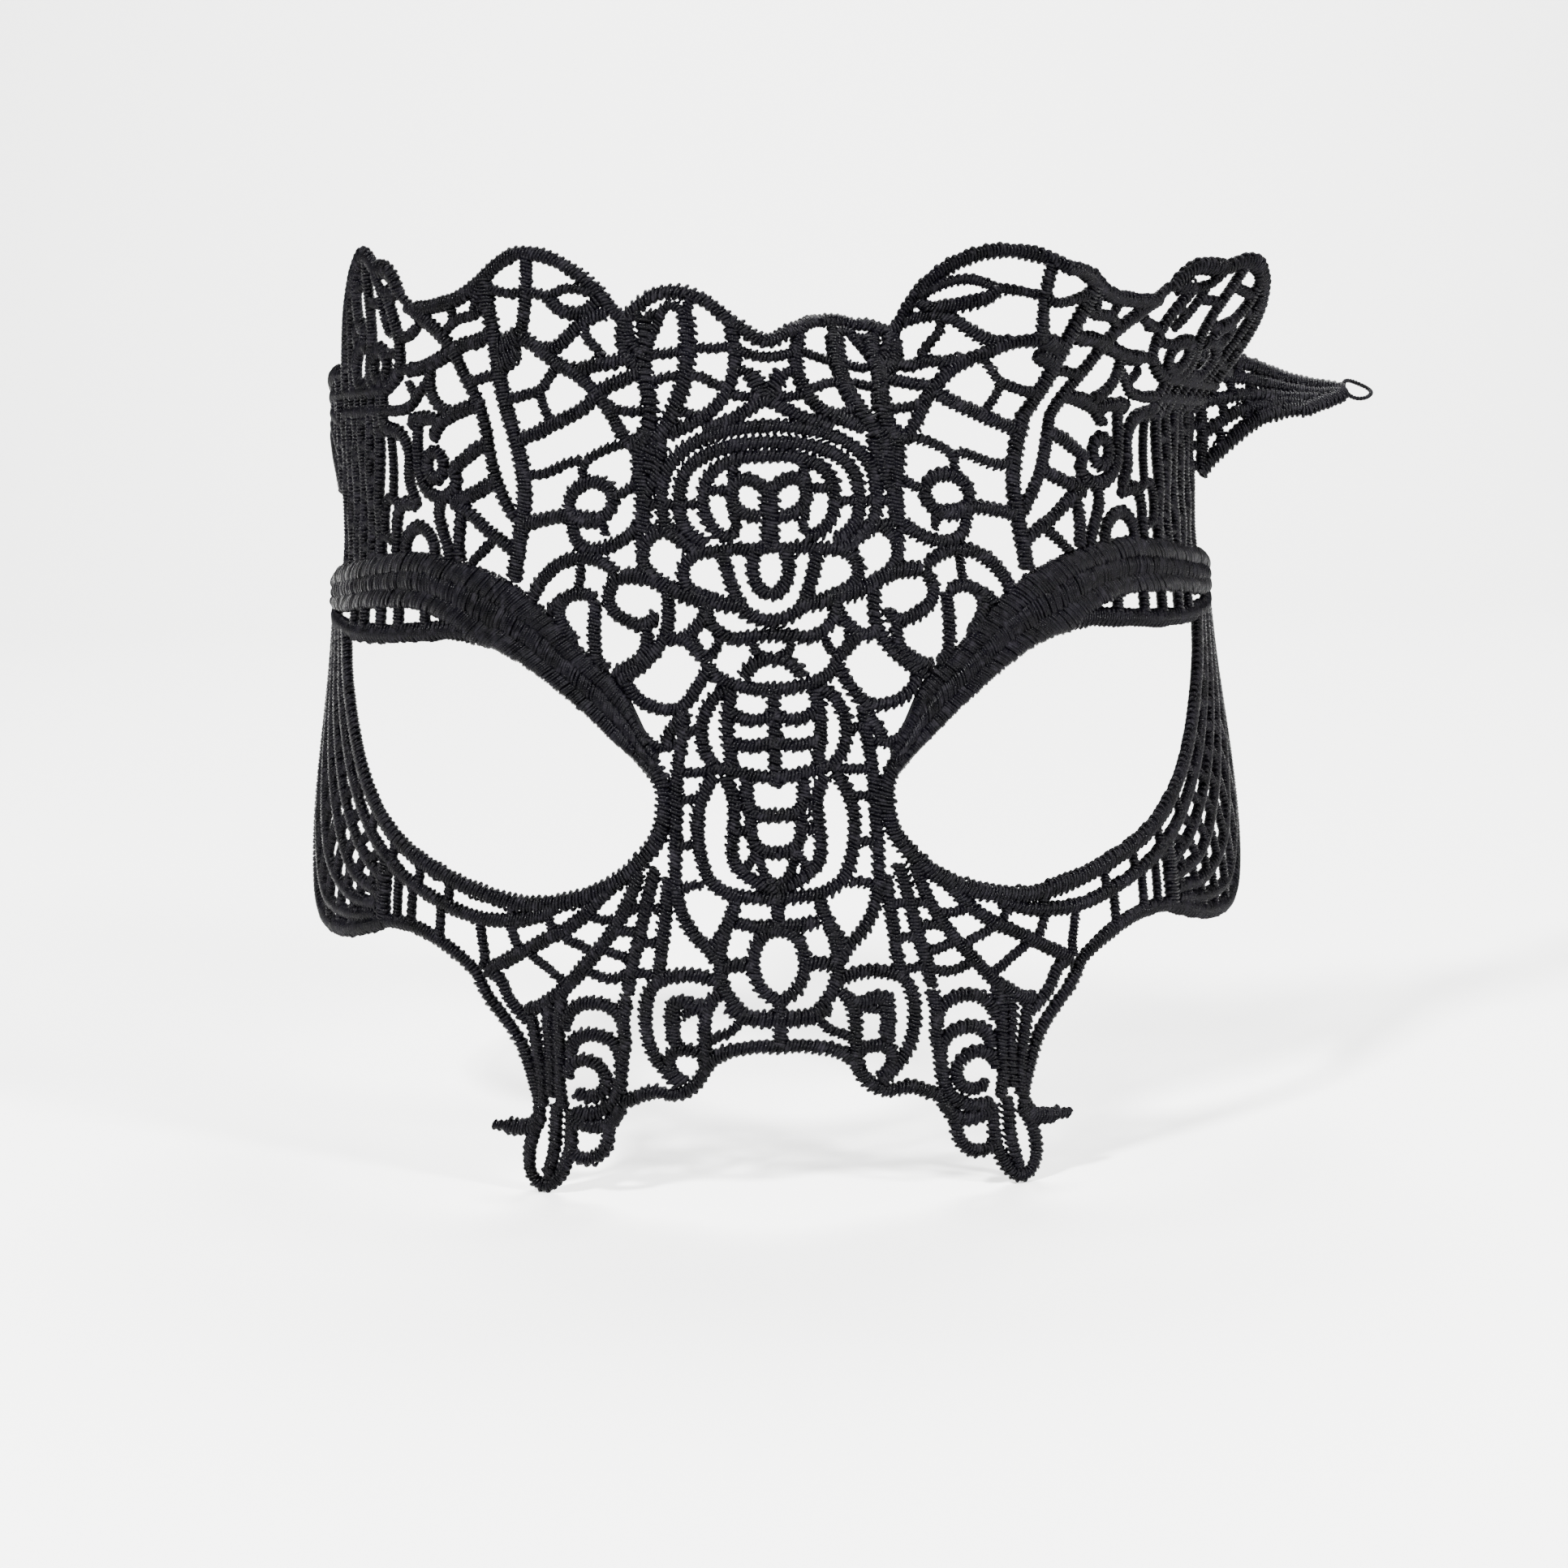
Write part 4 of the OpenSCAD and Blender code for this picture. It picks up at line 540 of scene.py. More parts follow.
ROUTES["nose_arch"] = [
    (HEAVY, [(0, -76.4), (2.5, -76.4), (4.8, -75.9), (6.5, -74.6)]),
    (MAIN, [(0, -74), (0, -80.3)]),
    (THIN, [(4.9, -76.2), (5.9, -77.6), (7.2, -78.5), (8.6, -78.9), (9.8, -80)]),
    (MAIN, [(0, -80.3), (2.5, -80.2), (5, -80.5), (7.3, -81), (9, -82), (10.3, -83.8), (11.5, -85.6),
        (13.2, -86.8), (15, -87.2), (17, -86.8), (18.8, -87.2), (20.3, -88), (21.8, -88.4)]),
]
ROUTES["nostril_scroll"] = [
    (MAIN, [(7.6, -71.4), (9.5, -70.6), (12, -70.3), (14.5, -70.7), (16.5, -71.8), (17.6, -74.5),
        (17.8, -77.5), (17.4, -80.3), (16.4, -82.5), (15, -84.3), (13.6, -85.8)]),
    (MAIN, [(7.8, -72.8), (9.2, -74.3), (9.8, -76.5), (9.9, -79), (10, -81.5), (10.3, -83.6)]),
    (MAIN, [(8.8, -74), (10.5, -74.6), (12.5, -73.9), (14.5, -74.4)]),
    (HEAVY, [(13.8, -74.2), (14.2, -77), (14, -80)]),
    (THIN, [(10, -75.4), (11.5, -75.2), (12.8, -76)]),
    (MAIN, [(10, -81.2), (12, -80.7), (14, -80.8), (15, -82.3), (14.6, -84), (13, -85.4)]),
]
ROUTES["cheek_rosette"] = [
    (MAIN, [(20.1, -73.5), (20.8, -76.5), (20.9, -80), (21.6, -83), (22, -86), (23, -88.2),
        (24.8, -89.8), (27, -90.6), (29.5, -90.4)]),
    (MAIN, [(20.9, -78), (21.3, -76.3), (22.8, -75), (25, -74.6), (27.3, -75.2), (28.8, -76.6),
        (29.5, -78.5)]),
    (MAIN, [(21.6, -82), (22.2, -80.4), (23.5, -79.4), (25.5, -79.1), (27.3, -79.5), (28.6, -80.8),
        (29, -82.5)]),
    (MAIN, [(29.8, -85.5), (29.3, -83.8), (27.5, -82.8), (25.3, -83.2), (24, -85), (24.4, -87),
        (26.5, -88.2), (28.8, -87.6)]),
    (MAIN, [(22.4, -89.6), (24, -91.6), (26, -92.3), (28.3, -91.9), (29.6, -91)]),
    (MAIN, [(29.3, -74), (30.3, -77), (30.5, -80), (30.8, -83.5), (31.3, -87), (31, -90)]),
    (MAIN, [(31.3, -75), (32, -78), (32, -81.5), (32.3, -85), (32.8, -88.5)]),
    (MAIN, [(34.5, -77), (34.2, -80), (34, -83.5), (34, -87), (34.3, -90)]),
    (MAIN, [(41.3, -71.5), (39.5, -72), (38.6, -73.2), (37.9, -75), (36.3, -76.8), (34.8, -78)]),
]
ROUTES["cheek_point"] = [
    (MAIN, [(21.8, -88.4), (22.4, -89.6), (23.2, -91), (24.3, -92.4), (24.5, -94), (25.2, -95.6),
        (26.5, -96.8), (28.3, -97.4), (30, -97), (30.8, -96)]),
    (MAIN, [(24.4, -92.3), (27, -92.4), (29.8, -92)]),
    (MAIN, [(29.8, -90.6), (30.2, -93.5), (30.6, -96), (31.8, -98.6), (33.2, -100.6), (35, -101.9),
        (36.8, -101.7), (37.8, -100), (37.7, -98), (37.2, -96), (36.3, -94), (35.2, -92.4),
        (34.9, -91)]),
    (MAIN, [(32, -90), (32.6, -93), (33, -95.5), (33.8, -98), (35, -100.6)]),
]
ROUTES["whisker_spur"] = [
    (HEAVY, [(34.9, -91.6), (36.3, -93.2), (38.5, -93.8), (41, -93.9)]),
    (THIN, [(41, -93.9), (43.5, -94.1)]),
]
ROUTES["temple_web"] = [
    (MAIN, [(42.2, -0.2), (44.8, -1), (47.2, -2.4), (49.6, -3.8)]),
    (MAIN, [(40.8, -5.2), (43, -6), (45.2, -6.9), (47.5, -7.5), (49.5, -8)]),
    (MAIN, [(43.2, 5), (45.7, 4.7), (48.3, 4.1), (50.7, 3.2), (52.5, 2), (53.6, 0.6)]),
    (MAIN, [(53.4, 10.6), (53.9, 8.6), (53.4, 6.4), (51.6, 4.8), (50, 4.2)]),
    (THIN, [(53.6, 8.8), (55.5, 7.6), (57, 6.4), (58.6, 5.2), (61, 4.7), (63.5, 4.6), (66, 4.7)]),
    (THIN, [(59, 8.6), (58.4, 7.6), (57, 6.4)]),
    (MAIN, [(51.5, 2.8), (54, 3.4), (56.5, 3.4), (59, 3)]),
    (MAIN, [(56.8, 4), (57.2, 1.5), (57.2, -1.5), (56.8, -4.5), (55, -6.6), (52, -7.4), (49.5, -6.6),
        (48.6, -4.8), (49.6, -3.6)]),
    (MAIN, [(58, -8), (59.6, -5), (59.4, -2), (60.2, 0.2), (62, 1.6), (64.2, 2), (66.4, 2.6),
        (67, 4.6)]),
    (THIN, [(64.3, -7.4), (64, -3.5), (64.3, 0), (65, 2)]),
    (MAIN, [(38, -14.5), (40.5, -13), (42.8, -11.8), (45, -10.2), (47, -9), (49.3, -8.2)]),
    (MAIN, [(47.6, -9), (48.2, -11.5), (48.4, -14), (48, -16)]),
    (THIN, [(41.2, -13), (42.8, -14), (44.2, -15), (46, -16.4)]),
    (MAIN, [(52, -7.6), (52.6, -9.6), (51.8, -12), (50.8, -14), (50.2, -15.8)]),
    (MAIN, [(53.5, -15.6), (54, -13.4), (55.5, -12), (57.5, -11.4), (59.5, -12.2), (60.8, -13.8),
        (61, -15.4)]),
    (MAIN, [(57.5, -8.6), (59.5, -8.2), (61.8, -8.4), (63.2, -10.5), (63.4, -13), (63.6, -15.6)]),
    (THIN, [(62.6, -8.6), (64.8, -7.4), (66.5, -8.4), (67, -11), (66.6, -13)]),
    (THIN, [(64.4, -13.6), (66.4, -13), (68.4, -13.4), (69, -15.6)]),
]
ROUTES["ear"] = [
    (HEAVY, [(60.9, 20.4), (61.4, 21.6), (63.2, 23.6), (65.5, 24.2), (67.6, 24.4), (69.4, 25.8),
        (71.6, 26.4), (73.8, 25.4), (76, 23.4), (78, 20.8), (79.6, 17.8), (80.8, 14), (81.6, 10.6),
        (82, 7.6)]),
    (MAIN, [(61.2, 20.8), (62.4, 20.9), (64, 20.6), (62.6, 17.6), (61.4, 14.8), (61, 12.4),
        (61.4, 10.2), (63, 8.8), (65.2, 7.8), (66.6, 7.6)]),
    (THIN, [(61.6, 20), (64, 20.7), (66.2, 21.6), (67.8, 23.6)]),
    (MAIN, [(70.6, 25.6), (70.2, 21.5), (69.6, 17.5), (69.6, 14), (70.6, 11), (70.6, 9.2), (69, 7.8),
        (66.6, 7.6)]),
    (THIN, [(66.2, 21.4), (65.6, 18.6), (64.6, 16.4), (63.4, 14.8)]),
    (THIN, [(64.6, 12.6), (66.6, 13.6), (68.6, 13), (69.8, 11)]),
    (MAIN, [(74.6, 24.4), (75, 20.5), (74.2, 17.4), (72.4, 15.6)]),
    (MAIN, [(71, 13.6), (73, 14), (75, 13), (76.2, 11), (75.6, 8.8), (73.4, 8.2), (71.2, 8.8)]),
    (MAIN, [(77, 21.8), (77.8, 17.5), (78, 13), (78, 7.8)]),
    (MAIN, [(66.6, 7.6), (70, 7.6), (74, 7.5), (78, 7.5), (82, 7.6)]),
    (THIN, [(63, 17.6), (64.8, 16.8)]),
    (THIN, [(65.8, 19.4), (70, 19.8)]),
    (THIN, [(70.4, 22.4), (74.8, 22)]),
    (THIN, [(75, 19.6), (77.4, 19.4)]),
    (THIN, [(76, 11.6), (78, 11.6)]),
    (THIN, [(78, 15), (80.6, 14.6)]),
    (THIN, [(78, 11), (81.4, 10.8)]),
    (THIN, [(61, 12.6), (64.8, 12.4)]),
    (THIN, [(69.6, 16.4), (72.6, 16)]),
    (THIN, [(75.4, 13.4), (75.4, 15.2)]),
]
ROUTES["wing"] = [
    (HEAVY, [(86.9, 10.4), (93.2, 10), (101, 9.3), (109, 8), (113, 7.2), (115.2, 6.5)]),
    (HEAVY, [(86.9, -6.6), (89.2, -4), (93.2, -1), (97.2, 1.2), (103.2, 2.2), (105.2, 2), (109.2, 3.5),
        (113.2, 5), (115.2, 6.5)]),
    (MAIN, [(86.9, -6.6), (87.2, -1), (86.8, 5), (86.9, 10.4)]),
    (MAIN, [(87, 7.4), (93, 7.4), (99, 7), (105, 6.4), (110, 5.8), (114, 6)]),
    (MAIN, [(87, 3.6), (92, 4.4), (98, 4.8), (104, 4.6), (109, 4.6)]),
    (MAIN, [(87.2, -1), (90, 0.6), (94, 2.4), (99, 3.2), (104, 3.4), (106.4, 2.6)]),
    (THIN, [(90, 10.2), (90.4, 7.4)]),
    (THIN, [(94.6, 9.9), (94.4, 7.4)]),
    (THIN, [(99, 9.5), (99.4, 7)]),
    (THIN, [(103.4, 9), (103.2, 6.6)]),
    (THIN, [(107.4, 8.3), (107.8, 6)]),
    (THIN, [(89.4, 7.4), (89, 4)]),
    (THIN, [(92.4, 7.4), (93, 4.5)]),
    (THIN, [(96.6, 7.2), (96.4, 4.7)]),
    (THIN, [(101.4, 6.7), (101, 4.7)]),
    (THIN, [(105.6, 6.3), (106, 4.6)]),
    (THIN, [(90.8, 4.2), (91, 1.1)]),
    (THIN, [(95.4, 4.7), (95.6, 2.7)]),
    (THIN, [(100.4, 4.7), (100.2, 3.2)]),
    (THIN, [(90, 0.4), (90.4, -3)]),
    (THIN, [(94.8, 2.5), (95, 0)]),
    (THIN, [(99.4, 3.2), (99.8, 1.6)]),
]
ROUTES["temple_web"].append((MAIN, oval(53.2, -3, 1.9, 1.9)))
ROUTES["ear"] += [(MAIN, oval(67, 10.9, 2.1, 2.1)), (MAIN, oval(73.8, 15.4, 1.7, 1.7))]
ROUTES["forehead_swirl"].append((MAIN, oval(25.4, -8.1, 3.5, 2.6, -15)))

BROW_TOP = [
    (15.8, -41), (18, -38), (20, -34), (22, -31.5), (25, -29.2), (28, -26.8), (31, -24), (34, -21.8),
    (38, -19.3), (42, -17.8), (46, -16.7), (50, -15.9), (55, -15.3), (60, -15.1), (65, -15.6),
    (70, -16.1), (76, -16.8), (82, -17.4), (88, -18), (95, -19.2), (102, -20.6)]
BROW_BOTTOM = [
    (16, -44.5), (18.5, -42), (21.5, -39.6), (25, -36.7), (29, -33.8), (33, -31.2), (37, -29.1),
    (41, -27.6), (45, -26.9), (49, -25), (52, -23.7), (56, -22.8), (60, -22.5), (66, -22.7),
    (72, -23), (78, -23.6), (84, -24.2), (88, -24.4), (95, -24.5), (102, -24.3)]
BROW_T = 2.0
STITCH_SUNK, STITCH_RISE = 0.75, 0.6    # a stitch starts under the band's face and bulges out
ROUTES["brow_ladder"] = [
    (HEAVY, [(45, -25.8), (50, -25.5), (55, -25.9), (60, -26.2), (65, -26.6), (70, -26.8), (75, -26.9),
             (80, -26.8), (85, -26.6), (91, -26.3), (96, -26), (101.6, -25.6)])]
ROUTES["brow_ladder"] += [(MAIN, [(u, -22.4), (u, -26.2)]) for u in (55.8, 62.7, 68.2, 74.3, 78.8)]

ROUTES["under_eye_ladder"] += [(THIN, bar) for bar in (
    [(30.2, -61.4), (30.4, -62.6)], [(36.4, -61.6), (36.8, -64)], [(47.3, -59.2), (47.8, -63.2)],
    [(53.2, -57.4), (53.8, -61.2)], [(59.3, -54.8), (60, -58.8)], [(64.7, -51.2), (66, -54.8)],
    [(69.3, -47.2), (71, -50.4)], [(73.3, -42.9), (75, -46.2)], [(77, -38.6), (79, -41.6)],
    [(80, -34.6), (82, -37.4)], [(49, -62.6), (49.6, -68)], [(54.9, -60.8), (55.6, -66.9)],
    [(58.2, -59.4), (58.8, -66.7)])]

PANEL_ROWS = [
    [(58, -59.5), (65.5, -55), (72.5, -48.8), (78.5, -42), (83.5, -35), (86, -28.4), (86.6, -26.4)],
    [(61.6, -61.2), (69, -57.2), (76, -50.8), (82, -43.6), (87, -36), (89.6, -29), (90.4, -26.2)],
    [(63, -63), (72, -60.6), (79, -54), (85.4, -46), (90.4, -37.6), (93.4, -30), (94.2, -26)],
    [(63.6, -64.8), (73, -64.4), (83, -60), (89, -50.6), (94, -40.4), (97, -31), (97.8, -25.8)],
    [(64, -66.2), (74, -67.4), (86, -66), (93.6, -57), (98, -44.6), (100.6, -33), (101.6, -25.4)]]
SIDE_HEM = [
    (62, -66.9), (66, -68), (70, -69), (74, -69.8), (78, -70.2), (84, -70.4), (90, -69.6), (95, -67.4),
    (98.6, -63.6), (100.8, -58), (102, -50), (102.6, -40), (102.6, -30), (102.2, -20.6)]
HEM_U, HEM_V = zip(*SIDE_HEM[:9])
LAST_U, LAST_V = zip(*PANEL_ROWS[-1][2:])
ROUTES["side_panel"] = (
    [(MAIN, row) for row in PANEL_ROWS] + netting(PANEL_ROWS, 13)
    + [(HEAVY, SIDE_HEM), (BAR, [(61.5, -58.2), (62, -62.4), (62.5, -66.8)])]
    + [(THIN, [(u, -66.4), (u + 0.4, float(np.interp(u, HEM_U, HEM_V)))]) for u in (67.5, 72, 77, 83)]
    + [(THIN, [(float(np.interp(v, LAST_V, LAST_U)), v), (102, v + 0.6)])
       for v in (-57, -53, -46, -39, -32)])

NET_U = (68.5, 71.5, 74.5, 77.5, 80.5, 83.4)
NET_TOP_V = 4.6
TOP_U, TOP_V = zip(*BROW_TOP)
NET_COLUMNS = [column(u, float(np.interp(u, TOP_U, TOP_V)) - 0.6, NET_TOP_V) for u in NET_U]
ROUTES["temple_netting"] = (
    [(MAIN, c) for c in NET_COLUMNS] + netting(NET_COLUMNS, 6)
    + [(MAIN, [(66.4, NET_TOP_V), (72, NET_TOP_V), (78, NET_TOP_V), (83.6, NET_TOP_V)]),
       (THIN, [(65, 2.2), (68.4, 1.4)]), (THIN, [(66.8, -10), (68.6, -9.6)])])

CENTRE = ("crown_centre", "forehead_medallion", "forehead_fan", "bridge_ovals", "bridge_shield",
          "nose_drop", "nose_arch")
PAIRED = ("crown_scallop", "crown_peak", "temple_web", "temple_netting", "ear", "wing",
          "forehead_knot", "forehead_swirl", "brow_ladder", "eye_rim_inner", "eye_rim_lower",
          "eye_rim_outer", "under_eye_ladder", "side_panel", "nose_column", "cheek_web",
          "nostril_scroll", "cheek_rosette", "cheek_point", "whisker_spur")


def lace_material():
    """Black rayon thread: a soft gloss, a fine ply twist, slight changes of tint between stitches, and
    painted glints, specks of lighter base colour that stand in for highlights on the stitches.
    """
    m = bpy.data.materials.new("black_rayon_thread")
    m.use_nodes = True
    nodes, links = m.node_tree.nodes, m.node_tree.links
    shader = nodes["Principled BSDF"]
    shader.inputs["Specular IOR Level"].default_value = 0.05
    coords = nodes.new("ShaderNodeTexCoord")
    tone = nodes.new("ShaderNodeTexNoise")
    tone.inputs["Scale"].default_value = 260
    tone.inputs["Detail"].default_value = 3
    links.new(coords.outputs["Object"], tone.inputs["Vector"])
    ramp = nodes.new("ShaderNodeValToRGB")
    ramp.color_ramp.elements[0].position = 0.3
    ramp.color_ramp.elements[0].color = (0.0002, 0.0002, 0.0004, 1)
    ramp.color_ramp.elements[1].position = 0.72
    ramp.color_ramp.elements[1].color = (0.0012, 0.001, 0.002, 1)
    links.new(tone.outputs["Fac"], ramp.inputs["Fac"])
    gloss = nodes.new("ShaderNodeMapRange")
    gloss.inputs["To Min"].default_value = 0.14
    gloss.inputs["To Max"].default_value = 0.55
    gloss.inputs["From Min"].default_value = 0.35
    gloss.inputs["From Max"].default_value = 0.65
    # Painted highlight: a fine noise adds specks of lighter base colour as painted glints on the threads;
    # the same noise also varies the roughness.
    painted_glint_and_gloss_noise = nodes.new("ShaderNodeTexNoise")
    painted_glint_and_gloss_noise.inputs["Scale"].default_value = 1000
    painted_glint_and_gloss_noise.inputs["Detail"].default_value = 2
    painted_glints = nodes.new("ShaderNodeValToRGB")
    painted_glints.color_ramp.elements[0].position = 0.55
    painted_glints.color_ramp.elements[0].color = (0, 0, 0, 1)
    painted_glints.color_ramp.elements[1].position = 0.8
    painted_glints.color_ramp.elements[1].color = (0.007, 0.0064, 0.008, 1)
    links.new(painted_glint_and_gloss_noise.outputs["Fac"], painted_glints.inputs["Fac"])
    # The base colour is the thread's own random tone plus the painted glints.
    tone_and_painted_glints = nodes.new("ShaderNodeMixRGB")
    tone_and_painted_glints.blend_type = "ADD"
    tone_and_painted_glints.inputs["Fac"].default_value = 1
    links.new(ramp.outputs["Color"], tone_and_painted_glints.inputs["Color1"])
    links.new(painted_glints.outputs["Color"], tone_and_painted_glints.inputs["Color2"])
    links.new(tone_and_painted_glints.outputs["Color"], shader.inputs["Base Color"])
    links.new(coords.outputs["Object"], painted_glint_and_gloss_noise.inputs["Vector"])
    links.new(painted_glint_and_gloss_noise.outputs["Fac"], gloss.inputs["Value"])
    links.new(gloss.outputs["Result"], shader.inputs["Roughness"])
    uv = nodes.new("ShaderNodeUVMap")
    uv.uv_map = "thread"
    turn = nodes.new("ShaderNodeMapping")
    turn.inputs["Scale"].default_value = (2.2, 3.0, 1)
    links.new(uv.outputs["UV"], turn.inputs["Vector"])
    ply = nodes.new("ShaderNodeTexWave")
    ply.bands_direction = "DIAGONAL"
    ply.inputs["Scale"].default_value = 0.9
    ply.inputs["Distortion"].default_value = 0.6
    links.new(turn.outputs["Vector"], ply.inputs["Vector"])
    bump = nodes.new("ShaderNodeBump")
    bump.inputs["Strength"].default_value = 0.7
    bump.inputs["Distance"].default_value = 0.00004
    links.new(ply.outputs["Fac"], bump.inputs["Height"])
    links.new(bump.outputs["Normal"], shader.inputs["Normal"])
    return m


def core_material():
    """The bundled core under the stitches: matt and darker."""
    m = bpy.data.materials.new("lace_core")
    m.use_nodes = True
    nodes, links = m.node_tree.nodes, m.node_tree.links
    shader = nodes["Principled BSDF"]
    shader.inputs["Roughness"].default_value = 0.8
    shader.inputs["Specular IOR Level"].default_value = 0.1
    fibre = nodes.new("ShaderNodeTexNoise")
    fibre.inputs["Scale"].default_value = 900
    ramp = nodes.new("ShaderNodeValToRGB")
    ramp.color_ramp.elements[0].color = (0.001, 0.001, 0.0015, 1)
    ramp.color_ramp.elements[1].color = (0.0012, 0.001, 0.0015, 1)
    links.new(fibre.outputs["Fac"], ramp.inputs["Fac"])
    links.new(ramp.outputs["Color"], shader.inputs["Base Color"])
    return m


THREADS = [lace_material(), core_material()]


def body_for(node):
    for body, members in frame["record"]["behaviour"]["bodies"].items():
        if node in members:
            return body
    raise ValueError(node)


def finish_piece(mesh, node):
    piece = mesh.build("lace_" + node, THREADS)
    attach(piece, body_for(node))
    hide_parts(node)
    return piece


def bridged(route):
    """A route that starts in the middle of the face runs on through its mirror image."""
    if max(p[0] for p in route) < 0.2 or route[0][0] > 0:
        return route
    return [(-u, v) for u, v in route[:0:-1]] + list(route)


for node in CENTRE:
    mesh = Mesh()
    for width, route in ROUTES[node]:
        satin_cord(mesh, width, bridged(route), LEFT)
        if route[0][0] > 0:
            satin_cord(mesh, width, route, RIGHT)
    finish_piece(mesh, node)

for node in PAIRED:
    for name, side in SIDES:
        mesh = Mesh()
        for width, route in ROUTES[node]:
            satin_cord(mesh, width, route, side)
        finish_piece(mesh, f"{node}_{name}")


def brow_point(t, across, h, side):
    """A point on the brow band: t along it, across it from its top edge to its bottom edge."""
    top, bottom = along_route(BROW_TOP, t), along_route(BROW_BOTTOM, t)
    p = top * (1 - across[:, None]) + bottom * across[:, None]
    return place(p[:, 0], p[:, 1], h, side)


def brow_band(side):
    """Three rows of slanted satin stitches over a padded base, on the front and on the back."""
    mesh = Mesh()
    length = np.linalg.norm(np.diff(np.array(BROW_TOP), axis=0), axis=1).sum()
    count = int(length / BAND_PITCH)
    for face in (1, -1):
        for k, (lo, hi) in enumerate(BAND_ROWS):
            slant = BAND_SLANTS[k]
            for i in range(count):
                t0 = (i + 0.5 + 0.16 * rng.normal()) / count
                f = np.linspace(0, 1, 9)
                t = np.clip(t0 + slant * (f - 0.5), 0, 1)
                across = lo + (hi - lo) * f + 0.012 * rng.normal()
                swell = np.sin(math.pi * f) ** 0.6
                h = face * (BROW_T / 2 - STITCH_SUNK + STITCH_RISE * swell + 0.08 * rng.normal())
                path = brow_point(t, across, h, side)
                mesh.tube(path, unit(np.gradient(brow_point(t + 0.01, across, h, side) - path, axis=0)
                                     + (brow_point(np.minimum(t + 0.02, 1.05), across, h, side) - path)),
                          THREAD_R * MM * rng.uniform(0.8, 1.0), THREAD_SIDES)
    t = np.linspace(0, 1, 120)
    for across in np.linspace(0.06, 0.94, 9):
        path = brow_point(t, np.full(len(t), across), np.zeros(len(t)), side)
        outward = unit(brow_point(t, np.full(len(t), across), np.ones(len(t)), side) - path)
        mesh.tube(path, outward, 0.62 * MM, 6, slot=1, flat=0.8)
    return mesh


for name, side in SIDES:
    finish_piece(brow_band(side), f"brow_band_{name}")


LOOP_BORE, LOOP_TURNS = 4.0, 14
PLY_R, PLY_OUT = 0.2, 0.17              # two plies, each this far from the middle of the thread


def tie_loop(side):
    """A bare twisted thread in a loop at the wing tip."""
    mesh = Mesh()
    r = LOOP_BORE / 2 + 0.3
    ang = np.linspace(0, 2 * math.pi, 40)
    u = WING_TIP[0] + r + 0.2 - r * np.cos(ang)
    v = WING_TIP[1] + 0.92 * r * np.sin(ang)
    centre = place(u, v, 0.25 * np.sin(2 * ang), side)
    normal = unit(place(u, v, np.ones(len(u)), side) - place(u, v, np.zeros(len(u)), side))
    fine = np.linspace(0, 1, 200)
    where = np.linspace(0, 1, len(u))
    c, n = [np.stack([np.interp(fine, where, q[:, i]) for i in range(3)], -1) for q in (centre, normal)]
    b = unit(np.cross(n, np.gradient(c, axis=0)))
    for ply in (0, math.pi):
        a = 2 * math.pi * LOOP_TURNS * fine + ply
        mesh.tube(c + PLY_OUT * MM * (n * np.cos(a)[:, None] + b * np.sin(a)[:, None]), n + b * 0.3,
                  PLY_R * MM, THREAD_SIDES)
    return mesh


for name, side in SIDES:
    finish_piece(tie_loop(side), f"tie_loop_{name}")


def fold_ties(name, side, routes):
    """Fine bars that cross a fold line."""
    mesh = Mesh()
    for route in routes:
        satin_cord(mesh, THIN, route, side)
    piece = mesh.build("lace_" + name, THREADS)
    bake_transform(piece)


EAR_TIES = [[(u, 4.4), (u + 0.2, 7.8)] for u in (66.2, 67.6, 70.4, 73.2, 76, 78.8, 81.4)]
EAR_SIDE_TIES = [[(57.2, 18.4), (61.2, 20.8)], [(57.6, 14.8), (61.6, 14.4)], [(57.8, 10.2), (61.6, 10.2)]]
WING_TIES = [[(83.4, v), (86.9, v + 0.4)] for v in (-6, -3, 0, 3)]
WING_TIES += [[(82.4, 7.6), (86.8, 7.2)], [(81.8, 10.2), (86.8, 10.2)]]
for name, side in SIDES:
    fold_ties(f"ear_ties_{name}", side, EAR_TIES)
    fold_ties(f"ear_side_ties_{name}", side, EAR_SIDE_TIES)
    fold_ties(f"wing_ties_{name}", side, WING_TIES)

# The stage: a pale floor that sweeps up into a pale wall.
FLOOR_Z = cad_box[0][2] - 0.0005
WALL_Y, WALL_H, BEND = 1.6, 1.8, 0.5


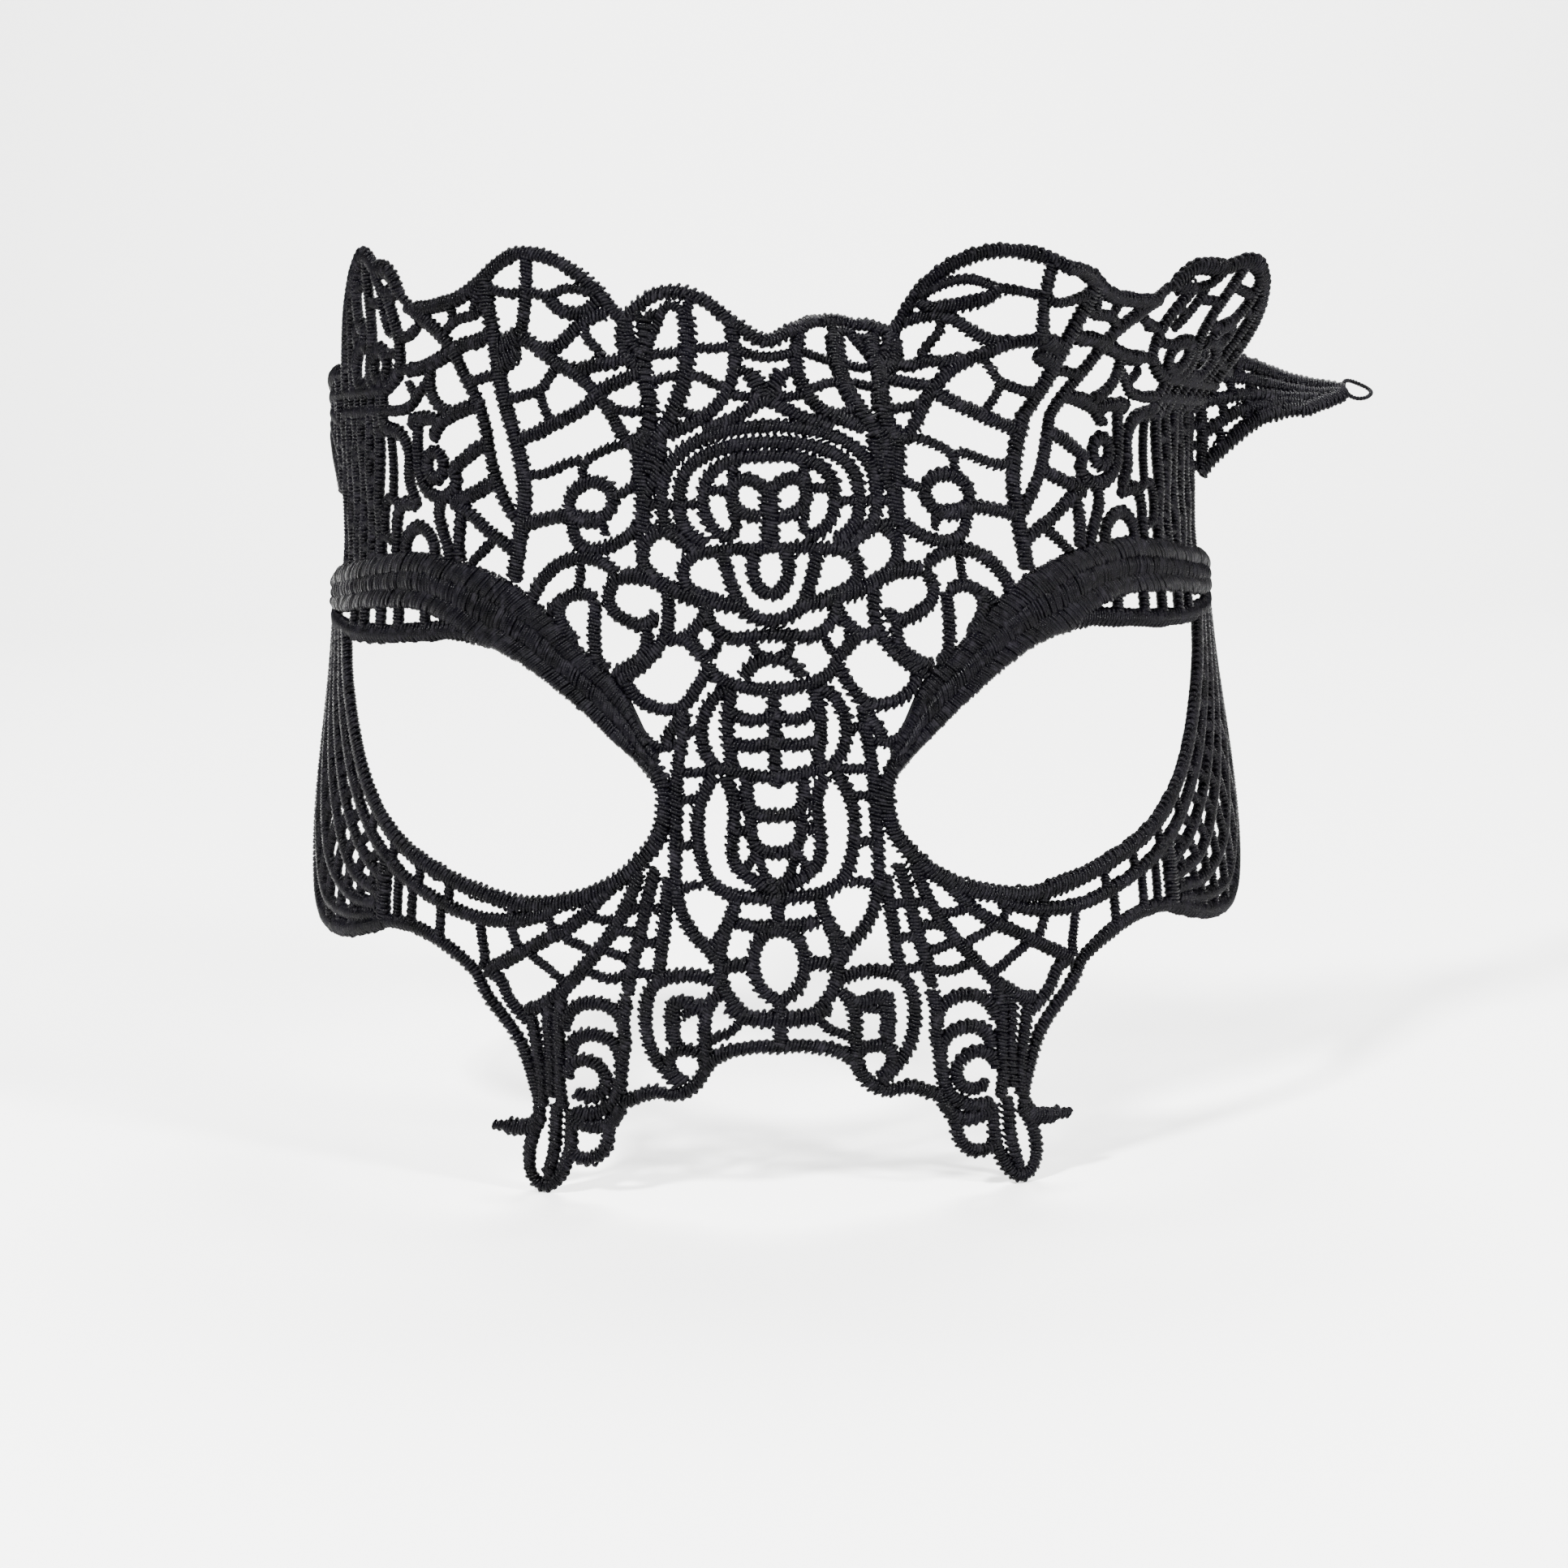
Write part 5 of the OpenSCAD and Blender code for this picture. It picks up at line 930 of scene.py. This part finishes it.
def sweep():
    profile = [(-1.6, 0.0), (WALL_Y - BEND, 0.0)]
    profile += [(WALL_Y - BEND + BEND * math.sin(a), BEND - BEND * math.cos(a))
                for a in np.linspace(0.1, math.pi / 2, 14)]
    profile.append((WALL_Y, WALL_H))
    verts = [(x, y, FLOOR_Z + z) for y, z in profile for x in (-2.5, 2.5)]
    faces = [(2 * i, 2 * i + 1, 2 * i + 3, 2 * i + 2) for i in range(len(profile) - 1)]
    mesh = bpy.data.meshes.new("sweep")
    mesh.from_pydata(verts, [], faces)
    mesh.polygons.foreach_set("use_smooth", [True] * len(faces))
    m = bpy.data.materials.new("pale_sweep")
    m.use_nodes = True
    m.node_tree.nodes["Principled BSDF"].inputs["Base Color"].default_value = (0.86, 0.86, 0.85, 1)
    m.node_tree.nodes["Principled BSDF"].inputs["Roughness"].default_value = 0.9
    mesh.materials.append(m)
    obj = bpy.data.objects.new("sweep", mesh)
    bpy.context.scene.collection.objects.link(obj)


sweep()


def area_light(name, place_at, aim, size, power):
    data = bpy.data.lights.new(name, "AREA")
    data.shape = "DISK"
    data.size = size
    data.energy = power
    obj = bpy.data.objects.new(name, data)
    obj.location = place_at
    obj.rotation_euler = (Vector(aim) - Vector(place_at)).to_track_quat("-Z", "Y").to_euler()
    bpy.context.scene.collection.objects.link(obj)


area_light("window", (-0.55, -0.75, 0.8), (0, 0.02, 0), 0.16, 72)
area_light("fill", (0.8, -0.6, 0.45), (0, 0.02, 0), 0.16, 40)
area_light("top", (0.1, 0.75, 1.3), (0, 1.1, 0), 0.9, 75)

world = bpy.data.worlds.new("soft_room")
bpy.context.scene.world = world
world.use_nodes = True
world.node_tree.nodes["Background"].inputs["Color"].default_value = (1.0, 1.0, 1.0, 1)
world.node_tree.nodes["Background"].inputs["Strength"].default_value = 0.36

# The camera looks slightly down from in front, level with the top of the forehead.
CAMERA_BACK = 0.400                    # from the middle of the wrap
camera_data = bpy.data.cameras.new("camera")
camera_data.sensor_width = 36
camera_data.lens = 58.3
camera_data.shift_x = 0.0057
camera_data.clip_start = 0.01
camera = bpy.data.objects.new("camera", camera_data)
camera.location = (0, SEAT_Y * MM - CAMERA_BACK, -SEAT_V * MM)
camera.rotation_mode = "XYZ"
pitch, roll = math.radians(90 - 7.8), math.radians(-1.2)
camera.rotation_euler = (Matrix.Rotation(pitch, 3, "X") @ Matrix.Rotation(roll, 3, "Z")).to_euler()
bpy.context.scene.collection.objects.link(camera)
bpy.context.scene.camera = camera
